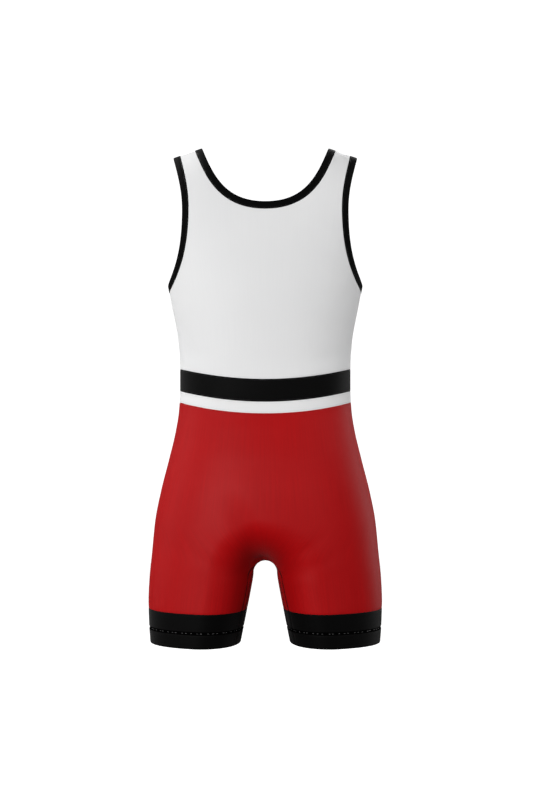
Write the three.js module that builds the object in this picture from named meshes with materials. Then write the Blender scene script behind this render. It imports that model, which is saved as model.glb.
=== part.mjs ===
// A wrestling singlet: a one-piece sleeveless knit garment with short legs, filled out as its
// wearer fills it, with nobody in it. Every sewn piece is a solid of its own, a thin wall of cloth
// round one hollow form.
// Millimetres. +Z is up, the wearer faces +Y, and +X is at the wearer's right hand.
// The origin is midway between the two shoulder straps, as high as the inside of the cloth at the
// middle of each strap's crest: there the wearer's shoulders hold the garment up.
import * as THREE from "three";

const BACK = -1;
const FRONT = 1;

// The cloth: a heavy stretch knit, and the gap that stands for each seam.
const CLOTH = 1.2;
const SEAM_GAP = 0.3;
const HALF_GAP = SEAM_GAP / 2;

// The form that the cloth takes, one row for each level: half the width, the depth of the back and
// of the front from the side seams, and how square the plan is (2 is an ellipse).
const FORM = [
  { height: 20, half: 184, back: 92, front: 70, square: 2.5 },
  { height: -40, half: 182, back: 94, front: 84, square: 2.5 },
  { height: -100, half: 176, back: 98, front: 99, square: 2.5 },
  { height: -160, half: 166, back: 101, front: 112, square: 2.5 },
  { height: -210, half: 156.4, back: 100, front: 117, square: 2.45 },
  { height: -251, half: 148.4, back: 97, front: 115, square: 2.4 },
  { height: -300, half: 139.5, back: 92, front: 108, square: 2.35 },
  { height: -340, half: 136.6, back: 89, front: 102, square: 2.3 },
  { height: -381, half: 136.6, back: 90, front: 99, square: 2.3 },
  { height: -413, half: 138.2, back: 95, front: 98, square: 2.3 },
  { height: -446, half: 143.2, back: 104, front: 98, square: 2.3 },
  { height: -494, half: 154.6, back: 115, front: 99, square: 2.3 },
  { height: -543, half: 167.1, back: 120, front: 99, square: 2.3 },
  { height: -591, half: 176.6, back: 118, front: 98, square: 2.3 },
  { height: -640, half: 181.6, back: 112, front: 97, square: 2.35 },
  { height: -689, half: 186.3, back: 103, front: 96, square: 2.45 },
  { height: -721, half: 187.6, back: 98, front: 94, square: 2.5 },
  { height: -753, half: 186.8, back: 94, front: 92, square: 2.55 },
  { height: -790, half: 184.4, back: 90, front: 90, square: 2.6 },
];
const DEPTH_POWER = 2.2;

// The shoulders: the crest that each strap crosses falls away from the neck, and the form rounds
// over to it from some way below.
const CREST = { middle: 125.5, slope: 0.336 };
const CROWN = { from: -130, power: 2.2 };

// The crotch: a round arch between the legs, which then part a little. The cloth rounds in to it
// over the reach.
const ARCH = { apex: -654.9, radius: 19.9, spread: 0.193, ease: 8, reach: 75, power: 2 };

// Where the edges of the garment run, seen square on. Each is one or two smooth curves, given by
// where it starts and ends and by how far it leaves each end in that end's direction.
const NECK = {
  corner: 101.7,
  steepness: 2.75,
  [BACK]: { drop: 88.4, flat: 62, rise: 20 },
  [FRONT]: { drop: 150, flat: 64, rise: 26 },
};
const ARM = {
  corner: 148.2,
  slant: 0.3,
  underarm: -213,
  [BACK]: { inmost: 130.3, height: -101, upper: 40, upperEnd: 30, lower: 46, lowerEnd: 30 },
  [FRONT]: { inmost: 123, height: -112, upper: 44, upperEnd: 34, lower: 44, lowerEnd: 32 },
};
const UNDERARM_SLANT = 0.62;

// The folded bindings of the neck and the armholes.
const BINDING = 12.2;
const BINDING_PROUD = 0.5;
const BINDING_ROUND = 0.7;

// The levels of the crosswise seams at the side seams, and how far each dips at the centre.
const WAIST_TOP = -347.2;
const BAND_HEIGHT = 35.6;
const STRIPE_HEIGHT = 18;
const WAIST_DIP = { [BACK]: 17, [FRONT]: 8 };
const CUFF_TOP = -731.6;
const HEM = -787.4;

// The leg band is turned up inside to this height above the hem, where a stitched groove shows.
// Its second layer is thinner towards its ends, and lifts the outside a little.
const TURN_UP = { height: 23.4, groove: 3.4, sunk: 0.35, thick: 1, ease: 0.2, proud: 0.15 };

// The inseam sits behind the middle of the inner leg, and meets the other one at the crotch.
const INSEAM = { setback: 31, over: 36 };

// How finely the walls are divided.
const ACROSS = 14;
const SIDE_ROWS = 5;
const NECK_ROWS = { [BACK]: 11, [FRONT]: 13 };
const ARM_ROWS = 17;
const LEG_ROUND = 28;
const HIP_ROWS = 8;
const CROTCH_ROWS = 6;
const ARCH_ROWS = 4;
const LEG_ROWS = 3;

// How closely slopes are taken and places on the form are found.
const SLOPE_STEP = 0.02;
const ALONG_STEP = 0.2;
const SETTLING_STEPS = 12;
const EDGE_STEPS = 8;
const HALVINGS = 40;
const TINY = 1e-6;

const WHITE_KNIT = { color: 0xe9e9ea, roughness: 0.62 };
const BLACK_KNIT = { color: 0x101012, roughness: 0.6 };
const RED_KNIT = { color: 0xa82227, roughness: 0.58 };

// A smooth curve through one column of a table, which doesn't overshoot between its rows.
function columnCurve(rows, column) {
  const sorted = [...rows].sort((a, b) => a.height - b.height);
  const at = sorted.map((row) => row.height);
  const value = sorted.map((row) => row[column]);
  const rise = at.slice(1).map((height, i) => (value[i + 1] - value[i]) / (height - at[i]));
  const slope = value.map((_, i) => {
    const before = rise[Math.max(i - 1, 0)];
    const after = rise[Math.min(i, rise.length - 1)];
    return before * after <= 0 ? 0 : (2 * before * after) / (before + after);
  });
  return (height) => {
    const found = at.findIndex((level) => level > height);
    const i = found < 0 ? at.length - 2 : Math.max(found - 1, 0);
    const span = at[i + 1] - at[i];
    const t = THREE.MathUtils.clamp((height - at[i]) / span, 0, 1);
    const ease = t * t * (3 - 2 * t);
    const leaving = t * (1 - t) * (1 - t) * span;
    const arriving = t * t * (t - 1) * span;
    return value[i] + (value[i + 1] - value[i]) * ease + slope[i] * leaving + slope[i + 1] * arriving;
  };
}

const halfWidth = columnCurve(FORM, "half");
const squareness = columnCurve(FORM, "square");
const depthOf = { [BACK]: columnCurve(FORM, "back"), [FRONT]: columnCurve(FORM, "front") };

// The share of the plan's depth that its width takes up at a place: 0 at the centre, 1 at the side.
function planShare(x, z) {
  return Math.pow(Math.abs(x) / halfWidth(z), squareness(z));
}

// The height of the shoulders' crest.
function crest(x) {
  return (CREST.middle - Math.abs(x)) * CREST.slope;
}

// The share that the rounding of the shoulders takes up: it closes the form at the crest.
function crownShare(x, z) {
  if (z <= CROWN.from) return 0;
  const top = crest(x);
  const open = Math.max(1 - planShare(x, top), TINY);
  return open * Math.pow((z - CROWN.from) / (top - CROWN.from), CROWN.power);
}

const ARCH_CENTRE = ARCH.apex - ARCH.radius;

// Half the gap between the legs below the round of the arch.
function halfGap(z) {
  const below = ARCH_CENTRE - z;
  return ARCH.radius + ARCH.spread * (Math.hypot(below, ARCH.ease) - ARCH.ease);
}

// The share that the rounding in to the gap between the legs takes up.
function archShare(x, z) {
  const above = z - ARCH_CENTRE;
  const clear = above > 0 ? Math.hypot(x, above) - ARCH.radius : Math.abs(x) - halfGap(z);
  return Math.pow(Math.max(1 - clear / ARCH.reach, 0), ARCH.power);
}

// What is left of the depth at a place seen square on. Below 0 there is no cloth.
function fullness(x, z) {
  return 1 - planShare(x, z) - crownShare(x, z) - archShare(x, z);
}

// How far the inside of the cloth lies behind or in front of the side seams.
function depthAt(x, z, face) {
  return depthOf[face](z) * Math.pow(Math.max(fullness(x, z), 0), 1 / DEPTH_POWER);
}

// Above 0 outside the form, below 0 inside it.
function excess(x, y, z) {
  const face = y < 0 ? BACK : FRONT;
  return Math.pow(Math.abs(y) / depthOf[face](z), DEPTH_POWER) - fullness(x, z);
}

// The way that the form's surface slopes at a point, longer where it is steeper.
function gradient(p) {
  const h = SLOPE_STEP;
  return new THREE.Vector3(
    excess(p.x + h, p.y, p.z) - excess(p.x - h, p.y, p.z),
    excess(p.x, p.y + h, p.z) - excess(p.x, p.y - h, p.z),
    excess(p.x, p.y, p.z + h) - excess(p.x, p.y, p.z - h),
  ).divideScalar(2 * h);
}

function outward(p) {
  return gradient(p).normalize();
}

// The point of the form's surface that lies nearest a point close to it.
function settled(start) {
  const p = start.clone();
  for (let step = 0; step < SETTLING_STEPS; step++) {
    const g = gradient(p);
    p.addScaledVector(g, -excess(p.x, p.y, p.z) / g.lengthSq());
  }
  return p;
}

// A point of the form from its place seen square on. It keeps clear of the side seams.
function onForm(x, z, face) {
  return new THREE.Vector3(x, face * Math.max(depthAt(x, z, face), HALF_GAP), z);
}

function bezier(a, b, c, d, t) {
  const s = 1 - t;
  return a * s * s * s + 3 * b * s * s * t + 3 * c * s * t * t + d * t * t * t;
}

// The neckline from the centre, 0, to the shoulder, 1, seen square on.
function neckline(face, t) {
  const { drop, flat, rise } = NECK[face];
  const corner = { x: NECK.corner, z: crest(NECK.corner) };
  return {
    x: bezier(0, flat, corner.x - rise, corner.x, t),
    z: bezier(-drop, -drop, corner.z - rise * NECK.steepness, corner.z, t),
  };
}

// The armhole from the underarm, 0, to the shoulder, 1, seen square on: two curves that meet where
// it is cut in furthest.
function armhole(face, t) {
  const { inmost, height, upper, upperEnd, lower, lowerEnd } = ARM[face];
  const half = t * 2;
  if (half <= 1) {
    const side = halfWidth(ARM.underarm);
    return {
      x: bezier(side, side - lowerEnd * UNDERARM_SLANT, inmost, inmost, half),
      z: bezier(ARM.underarm, ARM.underarm + lowerEnd, height - lower, height, half),
    };
  }
  const corner = { x: ARM.corner, z: crest(ARM.corner) };
  return {
    x: bezier(inmost, inmost, corner.x - upper * ARM.slant, corner.x, half - 1),
    z: bezier(height, height + upperEnd, corner.z - upper, corner.z, half - 1),
  };
}

// Even steps along the cloth from 0 to 1, closer together in height towards a crest or a side.
function easeOut(t) {
  return 1 - (1 - t) * (1 - t);
}

function easeBoth(t) {
  return t * t * (3 - 2 * t);
}

// The stations of an edge on the form, each with its point and the way into the panel. The panel
// lies below the first station, and the way in runs on smoothly from there.
function edgeStations(place, face, count, ease) {
  const pointAt = (step) => {
    const { x, z } = place(face, ease(THREE.MathUtils.clamp(step / count, 0, 1)));
    return new THREE.Vector3(x, face * depthAt(x, z, face), z);
  };
  const stations = Array.from({ length: count + 1 }, (_, i) => {
    const point = pointAt(i);
    const along = pointAt(i + ALONG_STEP).sub(pointAt(i - ALONG_STEP));
    const onCentreLine = i === 0 && point.x === 0;
    const onSideSeam = i === 0 && !onCentreLine;
    if (onCentreLine) along.set(1, 0, 0);
    if (onSideSeam || i === count) along.set(0, 1, 0);
    return { point, into: new THREE.Vector3().crossVectors(outward(point), along).normalize() };
  });
  stations.forEach(({ into }, i) => {
    const against = i === 0 ? into.z > 0 : into.dot(stations[i - 1].into) < 0;
    if (against) into.negate();
  });
  return stations;
}

const neckStations = {};
const armStations = {};
for (const face of [BACK, FRONT]) {
  neckStations[face] = edgeStations(neckline, face, NECK_ROWS[face], easeOut);
  armStations[face] = edgeStations(armhole, face, ARM_ROWS, easeBoth);
}

// A station's point moved into the panel along the form. The end ones stay on their seam.
function movedIn(station, distance) {
  if (distance === 0) return station.point.clone();
  const start = station.point.clone().addScaledVector(station.into, distance);
  if (Math.abs(station.point.y) < TINY) {
    const onSeam = settled(start.setY(0));
    return onSeam.setY(0);
  }
  return settled(start);
}

// An open sheet of cloth on the form, which becomes a closed wall.
class Sheet {
  constructor() {
    this.points = [];
    this.faces = [];
    this.known = new Map();
  }

  // The number of a point, with the levels of the wall's inside and outside there.
  add(point, inside = 0, outside = CLOTH) {
    const key = [point.x, point.y, point.z].map((v) => Math.round(v * 1e4)).join();
    if (!this.known.has(key)) {
      this.known.set(key, this.points.length);
      this.points.push({ point, inside, outside });
    }
    return this.known.get(key);
  }

  span(a, b) {
    return this.points[a].point.distanceTo(this.points[b].point);
  }

  // Adds rows of points as a net of faces that look outwards, each quad cut on its short diagonal.
  addNet(rows, levels = () => [0, CLOTH]) {
    const numbers = rows.map((row, i) => row.map((point) => this.add(point, ...levels(i))));
    const quads = [];
    let facing = 0;
    for (let i = 0; i + 1 < rows.length; i++) {
      for (let j = 0; j + 1 < rows[i].length; j++) {
        quads.push([numbers[i][j], numbers[i][j + 1], numbers[i + 1][j + 1], numbers[i + 1][j]]);
        const across = rows[i + 1][j + 1].clone().sub(rows[i][j]);
        const other = rows[i + 1][j].clone().sub(rows[i][j + 1]);
        facing += across.cross(other).dot(outward(rows[i][j]));
      }
    }
    for (const quad of quads) {
      const [a, b, c, d] = facing > 0 ? quad : [...quad].reverse();
      const halves = this.span(a, c) < this.span(b, d) ? [[a, b, c], [a, c, d]] : [[a, b, d], [b, c, d]];
      this.faces.push(...halves.filter((face) => new Set(face).size === 3));
    }
    return this;
  }

  // Adds the rows and their mirror image on the other side of the garment.
  addBoth(rows) {
    const mirrored = rows.map((row) => row.map((p) => new THREE.Vector3(-p.x, p.y, p.z)));
    return this.addNet(rows).addNet(mirrored);
  }

  // The closed wall: the sheet's outside, its inside, and a rim along each free edge.
  wall() {
    const count = this.points.length;
    const position = new Float32Array(count * 6);
    this.points.forEach(({ point, inside, outside }, i) => {
      const normal = outward(point);
      point.clone().addScaledVector(normal, outside).toArray(position, i * 3);
      point.clone().addScaledVector(normal, inside).toArray(position, (i + count) * 3);
    });
    const index = [];
    const directed = new Set();
    for (const [a, b, c] of this.faces) {
      index.push(a, b, c, a + count, c + count, b + count);
      directed.add(`${a} ${b}`).add(`${b} ${c}`).add(`${c} ${a}`);
    }
    for (const edge of directed) {
      const [a, b] = edge.split(" ").map(Number);
      if (directed.has(`${b} ${a}`)) continue;
      index.push(b, a, a + count, b, a + count, b + count);
    }
    const geometry = new THREE.BufferGeometry();
    geometry.setAttribute("position", new THREE.BufferAttribute(position, 3));
    geometry.setIndex(index);
    geometry.computeVertexNormals();
    return geometry;
  }
}

// A half panel of the upper: its rows run from the centre line or the neck seam out to the side
// seam or the armhole seam, from the waist up to the shoulder seam.
function upperRows(face) {
  const neck = neckStations[face].map((s) => movedIn(s, BINDING + SEAM_GAP));
  const arm = armStations[face].map((s) => movedIn(s, BINDING + SEAM_GAP));
  const lowRows = SIDE_ROWS + ARM_ROWS - NECK_ROWS[face];
  const foot = WAIST_TOP + HALF_GAP;
  return Array.from({ length: SIDE_ROWS + ARM_ROWS + 1 }, (_, row) => {
    const up = row / lowRows;
    const centre = THREE.MathUtils.lerp(foot - WAIST_DIP[face], neck[0].z, up);
    const inner = row < lowRows ? onForm(0, centre, face) : neck[row - lowRows];
    const side = THREE.MathUtils.lerp(foot, arm[0].z, row / SIDE_ROWS);
    const outer = row < SIDE_ROWS ? onForm(halfWidth(side), side, face) : arm[row - SIDE_ROWS];
    const from = Math.asin(Math.min(inner.x / halfWidth(inner.z), 1));
    const to = Math.asin(Math.min(outer.x / halfWidth(outer.z), 1));
    const crestward = THREE.MathUtils.smoothstep(row, lowRows, SIDE_ROWS + ARM_ROWS);
    return Array.from({ length: ACROSS + 1 }, (_, column) => {
      const u = column / ACROSS;
      const level = Math.cos((u * Math.PI) / 2) ** 2;
      const guess = outer.z + (inner.z - outer.z) * level;
      const x = halfWidth(guess) * Math.sin(THREE.MathUtils.lerp(from, to, u));
      const straight = (outer.x - x) / (outer.x - inner.x);
      const rise = THREE.MathUtils.lerp(level, straight, crestward);
      const free = onForm(x, outer.z + (inner.z - outer.z) * rise, face);
      const p = column === 0 ? inner.clone() : column === ACROSS ? outer.clone() : free;
      return p.setY(face * Math.max(Math.abs(p.y), HALF_GAP));
    });
  });
}

// A half of a crosswise band between two levels, given at the side seam.
function bandRows(face, top, bottom) {
  return [top - HALF_GAP, bottom + HALF_GAP].map((level) =>
    Array.from({ length: ACROSS + 1 }, (_, column) => {
      const turn = (column / ACROSS) * (Math.PI / 2);
      const z = level - WAIST_DIP[face] * Math.cos(turn) ** 2;
      return onForm(halfWidth(z) * Math.sin(turn), z, face);
    }),
  );
}

// The line on the inside of a leg that comes nearest the other leg, or the centre line above it.
function innerEdge(z) {
  const above = z - ARCH_CENTRE;
  let x = 0;
  for (let step = 0; step < EDGE_STEPS; step++) {
    const slack = ARCH.reach * (1 - Math.pow(1 - planShare(x, z), 1 / ARCH.power));
    const round = Math.sqrt(Math.max((ARCH.radius + slack) ** 2 - above ** 2, 0));
    x = above > 0 ? round : halfGap(z) + slack;
  }
  return x;
}

// A point round the shorts: turn is 0 at the side seam and 1 at the centre line or at the inmost
// line of a leg. Past 1 it comes round on to the other face.
function shortsPoint(z, turn, face, rounding) {
  const inner = innerEdge(z);
  const flat = Math.cos((turn * Math.PI) / 2);
  const round = (1 + Math.cos(turn * Math.PI)) / 2;
  const share = THREE.MathUtils.lerp(flat, round, rounding);
  const x = inner + (halfWidth(z) - inner) * share;
  const side = turn > 1 ? -face : face;
  return new THREE.Vector3(x, side * depthAt(x, z, side), z);
}

// The turn at which the inside of a leg has come to a given depth behind or before the side seams.
function turnAtDepth(z, y, face) {
  const side = y < 0 ? BACK : FRONT;
  let near = 0.5;
  let far = 1;
  for (let step = 0; step < HALVINGS; step++) {
    const middle = (near + far) / 2;
    if (Math.abs(shortsPoint(z, middle, side, 1).y) > Math.abs(y)) near = middle;
    else far = middle;
  }
  return side === face ? near : 2 - near;
}

// How far behind the middle of the inner leg the inseam lies.
function inseamDepth(z) {
  return -INSEAM.setback * THREE.MathUtils.smoothstep(ARCH.apex - z, 0, INSEAM.over);
}

// Even shares of a length, from the first after its start to its end.
function shares(count) {
  return Array.from({ length: count }, (_, i) => (i + 1) / count);
}

// The levels of the rows of the shorts, closer together where they round in to the crotch.
function shortsLevels() {
  const top = WAIST_TOP - BAND_HEIGHT - STRIPE_HEIGHT;
  const bend = ARCH.apex + ARCH.reach;
  const quarter = (share) => Math.cos((Math.PI / 2) * share);
  const hips = shares(HIP_ROWS).map((t) => THREE.MathUtils.lerp(top - HALF_GAP, bend, t));
  const under = shares(CROTCH_ROWS).map((t) => ARCH.apex + ARCH.reach * (1 - quarter(1 - t)));
  const arch = shares(ARCH_ROWS).map((t) => ARCH_CENTRE + ARCH.radius * quarter(t));
  const legs = shares(LEG_ROWS).map((t) => THREE.MathUtils.lerp(ARCH_CENTRE, CUFF_TOP + HALF_GAP, t));
  return [top - HALF_GAP, ...hips, ...under, ...arch, ...legs];
}

// A half of the shorts on one face, from the waist down to the leg band.
function shortsRows(face) {
  const levels = shortsLevels();
  const bend = ARCH.apex + ARCH.reach;
  return levels.map((level) => {
    const dip = WAIST_DIP[face] * THREE.MathUtils.smoothstep(level, bend, levels[0]);
    const rounding = 1 - THREE.MathUtils.smoothstep(level, ARCH.apex, bend);
    const onLeg = level < ARCH.apex - TINY;
    const seamDepth = inseamDepth(level) + face * HALF_GAP;
    const end = onLeg ? turnAtDepth(level, seamDepth, face) : 1;
    return Array.from({ length: ACROSS + 1 }, (_, column) => {
      const turn = (end * column) / ACROSS;
      const z = level - dip * Math.sin((turn * Math.PI) / 2) ** 2;
      const p = shortsPoint(z, turn, face, rounding);
      const atSeam = column === 0 || (column === ACROSS && !onLeg);
      return atSeam ? p.setY(face * Math.max(Math.abs(p.y), HALF_GAP)) : p;
    });
  });
}

// The leg band of the right leg: a tube whose rows run once round the leg.
function legBand() {
  const fold = HEM + TURN_UP.height;
  const eased = TURN_UP.thick - TURN_UP.ease;
  const rows = [
    { level: CUFF_TOP - HALF_GAP, inside: 0, outside: CLOTH },
    { level: fold + TURN_UP.groove, inside: 0, outside: CLOTH },
    { level: fold + TURN_UP.groove / 2, inside: 0, outside: CLOTH - TURN_UP.sunk },
    { level: fold, inside: -eased, outside: CLOTH + TURN_UP.proud },
    { level: (fold + HEM) / 2, inside: -TURN_UP.thick, outside: CLOTH + TURN_UP.proud },
    { level: HEM, inside: -eased, outside: CLOTH + TURN_UP.proud },
  ];
  const net = rows.map(({ level }) =>
    Array.from({ length: 2 * LEG_ROUND + 1 }, (_, i) => {
      const turn = (i <= LEG_ROUND ? i : 2 * LEG_ROUND - i) / LEG_ROUND;
      return shortsPoint(level, turn, i <= LEG_ROUND ? BACK : FRONT, 1);
    }),
  );
  return new Sheet().addNet(net, (row) => [rows[row].inside, rows[row].outside]);
}

// A binding: a strip folded over a panel's edge, as a ring with one section at each station.
function bindingRing(stations) {
  const low = -BINDING_PROUD;
  const high = CLOTH + BINDING_PROUD;
  const section = [
    { into: BINDING, level: high },
    { into: BINDING_ROUND, level: high },
    { into: 0, level: (low + high) / 2 },
    { into: BINDING_ROUND, level: low },
    { into: BINDING, level: low },
  ];
  const sides = section.length;
  const position = [];
  for (const station of stations) {
    for (const { into, level } of section) {
      const base = movedIn(station, into);
      const p = base.clone().addScaledVector(outward(base), level);
      position.push(station.mirrored ? -p.x : p.x, p.y, p.z);
    }
  }
  const index = [];
  stations.forEach((_, i) => {
    const next = (i + 1) % stations.length;
    for (let side = 0; side < sides; side++) {
      const a = i * sides + side;
      const b = i * sides + ((side + 1) % sides);
      const c = next * sides + ((side + 1) % sides);
      const d = next * sides + side;
      index.push(a, b, c, a, c, d);
    }
  });
  const geometry = new THREE.BufferGeometry();
  geometry.setAttribute("position", new THREE.Float32BufferAttribute(position, 3));
  geometry.setIndex(index);
  geometry.computeVertexNormals();
  return geometry;
}

// The stations once round the neck: up the back of the right side, down its front, and so on.
function neckRing() {
  const right = [...neckStations[BACK], ...neckStations[FRONT].slice(0, -1).reverse()];
  const left = right.slice(1, -1).reverse();
  return [...right, ...left.map((station) => ({ ...station, mirrored: true }))];
}

// The stations once round the right armhole: up its back and down its front.
function armRing(mirrored) {
  const ring = [...armStations[BACK], ...armStations[FRONT].slice(1, -1).reverse()];
  return ring.map((station) => ({ ...station, mirrored }));
}

// Turns a geometry inside out where its faces point inwards.
function facingOut(geometry) {
  const p = geometry.getAttribute("position");
  const index = geometry.getIndex();
  const corner = (i) => new THREE.Vector3().fromBufferAttribute(p, index.getX(i));
  let volume = 0;
  for (let i = 0; i < index.count; i += 3) {
    volume += corner(i).dot(corner(i + 1).cross(corner(i + 2)));
  }
  if (volume < 0) index.array.reverse();
  geometry.computeVertexNormals();
  return geometry;
}

function mirroredX(geometry) {
  return facingOut(geometry.clone().scale(-1, 1, 1));
}

const singlet = new THREE.Group();

function addPiece(name, geometry, finish) {
  const mesh = new THREE.Mesh(geometry, new THREE.MeshStandardMaterial(finish));
  mesh.name = name;
  singlet.add(mesh);
}

const BAND_BOTTOM = WAIST_TOP - BAND_HEIGHT;
const STRIPE_BOTTOM = BAND_BOTTOM - STRIPE_HEIGHT;
for (const [side, face] of [["back", BACK], ["front", FRONT]]) {
  const upper = new Sheet().addBoth(upperRows(face));
  const band = new Sheet().addBoth(bandRows(face, WAIST_TOP, BAND_BOTTOM));
  const stripe = new Sheet().addBoth(bandRows(face, BAND_BOTTOM, STRIPE_BOTTOM));
  const shorts = new Sheet().addBoth(shortsRows(face));
  addPiece(`${side}_panel`, facingOut(upper.wall()), WHITE_KNIT);
  addPiece(`waist_band_${side}`, facingOut(band.wall()), BLACK_KNIT);
  addPiece(`waist_stripe_${side}`, facingOut(stripe.wall()), WHITE_KNIT);
  addPiece(`shorts_${side}`, facingOut(shorts.wall()), RED_KNIT);
}

const rightLegBand = facingOut(legBand().wall());
addPiece("leg_band_right", rightLegBand, BLACK_KNIT);
addPiece("leg_band_left", mirroredX(rightLegBand), BLACK_KNIT);

addPiece("neck_binding", facingOut(bindingRing(neckRing())), BLACK_KNIT);
addPiece("arm_binding_right", facingOut(bindingRing(armRing(false))), BLACK_KNIT);
addPiece("arm_binding_left", facingOut(bindingRing(armRing(true))), BLACK_KNIT);

export default singlet;
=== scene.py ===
"""A wrestling singlet of stretch knit, filled out as its wearer fills it, with nobody in it.

Every sewn piece is a thin shell of cloth on the same form as its solid in the frame, with finer
divisions, soft creases, seams that sink in, folded bindings, turned-up hems and stitches of thread.
Lengths are in millimetres until a mesh is made. +Z is up, the wearer faces +Y, and +X is at the
wearer's right hand.
"""

from __future__ import annotations

import logging
import math
from dataclasses import dataclass, field
from enum import Enum
from functools import partial
from typing import Any, Callable, Sequence

import bpy
import numpy as np
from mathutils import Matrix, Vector
from mathutils.kdtree import KDTree

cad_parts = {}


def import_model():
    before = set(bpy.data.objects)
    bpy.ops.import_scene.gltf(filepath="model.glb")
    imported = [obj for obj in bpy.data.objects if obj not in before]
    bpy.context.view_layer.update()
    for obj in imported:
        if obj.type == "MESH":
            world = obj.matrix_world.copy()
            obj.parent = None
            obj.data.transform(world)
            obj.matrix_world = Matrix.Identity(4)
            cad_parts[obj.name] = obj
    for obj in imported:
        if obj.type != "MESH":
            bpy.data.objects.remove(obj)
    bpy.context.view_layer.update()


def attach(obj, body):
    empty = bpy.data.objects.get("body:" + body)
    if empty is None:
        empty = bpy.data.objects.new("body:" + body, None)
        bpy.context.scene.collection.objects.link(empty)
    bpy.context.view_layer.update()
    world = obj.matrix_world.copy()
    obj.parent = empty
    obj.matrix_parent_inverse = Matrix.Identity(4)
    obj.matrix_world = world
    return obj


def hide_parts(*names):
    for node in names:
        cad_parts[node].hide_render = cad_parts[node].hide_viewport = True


LOG = logging.getLogger("singlet")
MM = 0.001
BODY = "root"


class Face(Enum):
    """The two faces of the garment: the sign of their depth."""

    BACK = -1
    FRONT = 1


class Hand(Enum):
    """The wearer's two sides: the sign of their width."""

    RIGHT = 1
    LEFT = -1


@dataclass(frozen=True)
class Level:
    """The form's size at one height, in millimetres.

    square says how square the plan is, where 2 is an ellipse.
    """

    height: float
    half: float
    back: float
    front: float
    square: float


LEVELS = (
    Level(20, 184, 92, 70, 2.5),
    Level(-40, 182, 94, 84, 2.5),
    Level(-100, 176, 98, 99, 2.5),
    Level(-160, 166, 101, 112, 2.5),
    Level(-210, 156.4, 100, 117, 2.45),
    Level(-251, 148.4, 97, 115, 2.4),
    Level(-300, 139.5, 92, 108, 2.35),
    Level(-340, 136.6, 89, 102, 2.3),
    Level(-381, 136.6, 90, 99, 2.3),
    Level(-413, 138.2, 95, 98, 2.3),
    Level(-446, 143.2, 104, 98, 2.3),
    Level(-494, 154.6, 115, 99, 2.3),
    Level(-543, 167.1, 120, 99, 2.3),
    Level(-591, 176.6, 118, 98, 2.3),
    Level(-640, 181.6, 112, 97, 2.35),
    Level(-689, 186.3, 103, 96, 2.45),
    Level(-721, 187.6, 98, 94, 2.5),
    Level(-753, 186.8, 94, 92, 2.55),
    Level(-790, 184.4, 90, 90, 2.6),
)


def smoothstep(value: np.ndarray | float, low: float, high: float) -> np.ndarray:
    """Rises smoothly from 0 at low to 1 at high."""
    t = np.clip((np.asarray(value, float) - low) / (high - low), 0, 1)
    return t * t * (3 - 2 * t)


def unit(vectors: np.ndarray) -> np.ndarray:
    """The vectors at length 1."""
    return vectors / np.maximum(np.linalg.norm(vectors, axis=-1, keepdims=True), 1e-12)


class SmoothColumn:
    """A smooth curve through one column of the levels, which doesn't overshoot."""

    def __init__(self, levels: Sequence[Level], name: str) -> None:
        """Reads the column.

        Args:
            levels: the rows, in any order.
            name: the column's name.
        """
        ordered = sorted(levels, key=lambda level: level.height)
        self.at = np.array([level.height for level in ordered], float)
        self.value = np.array([getattr(level, name) for level in ordered], float)
        rise = np.diff(self.value) / np.diff(self.at)
        before = np.concatenate([rise[:1], rise])
        after = np.concatenate([rise, rise[-1:]])
        same_way = before * after > 0
        self.slope = np.where(same_way, 2 * before * after / np.where(same_way, before + after, 1), 0)

    def __call__(self, height: np.ndarray | float) -> np.ndarray:
        """Reads the curve.

        Args:
            height: the heights.

        Returns:
            The column's value at each height.
        """
        height = np.asarray(height, float)
        i = np.clip(np.searchsorted(self.at, height, side="right") - 1, 0, len(self.at) - 2)
        span = self.at[i + 1] - self.at[i]
        t = np.clip((height - self.at[i]) / span, 0, 1)
        ease = t * t * (3 - 2 * t)
        leaving = t * (1 - t) * (1 - t) * span
        arriving = t * t * (t - 1) * span
        step = self.value[i + 1] - self.value[i]
        return self.value[i] + step * ease + self.slope[i] * leaving + self.slope[i + 1] * arriving


# How finely points are brought to the surface: the step that slopes are measured over in
# millimetres, and how often each search repeats.
SLOPE_STEP = 0.02
SETTLING_STEPS = 12
EDGE_STEPS = 8
HALVINGS = 40
TINY = 1e-6


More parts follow.
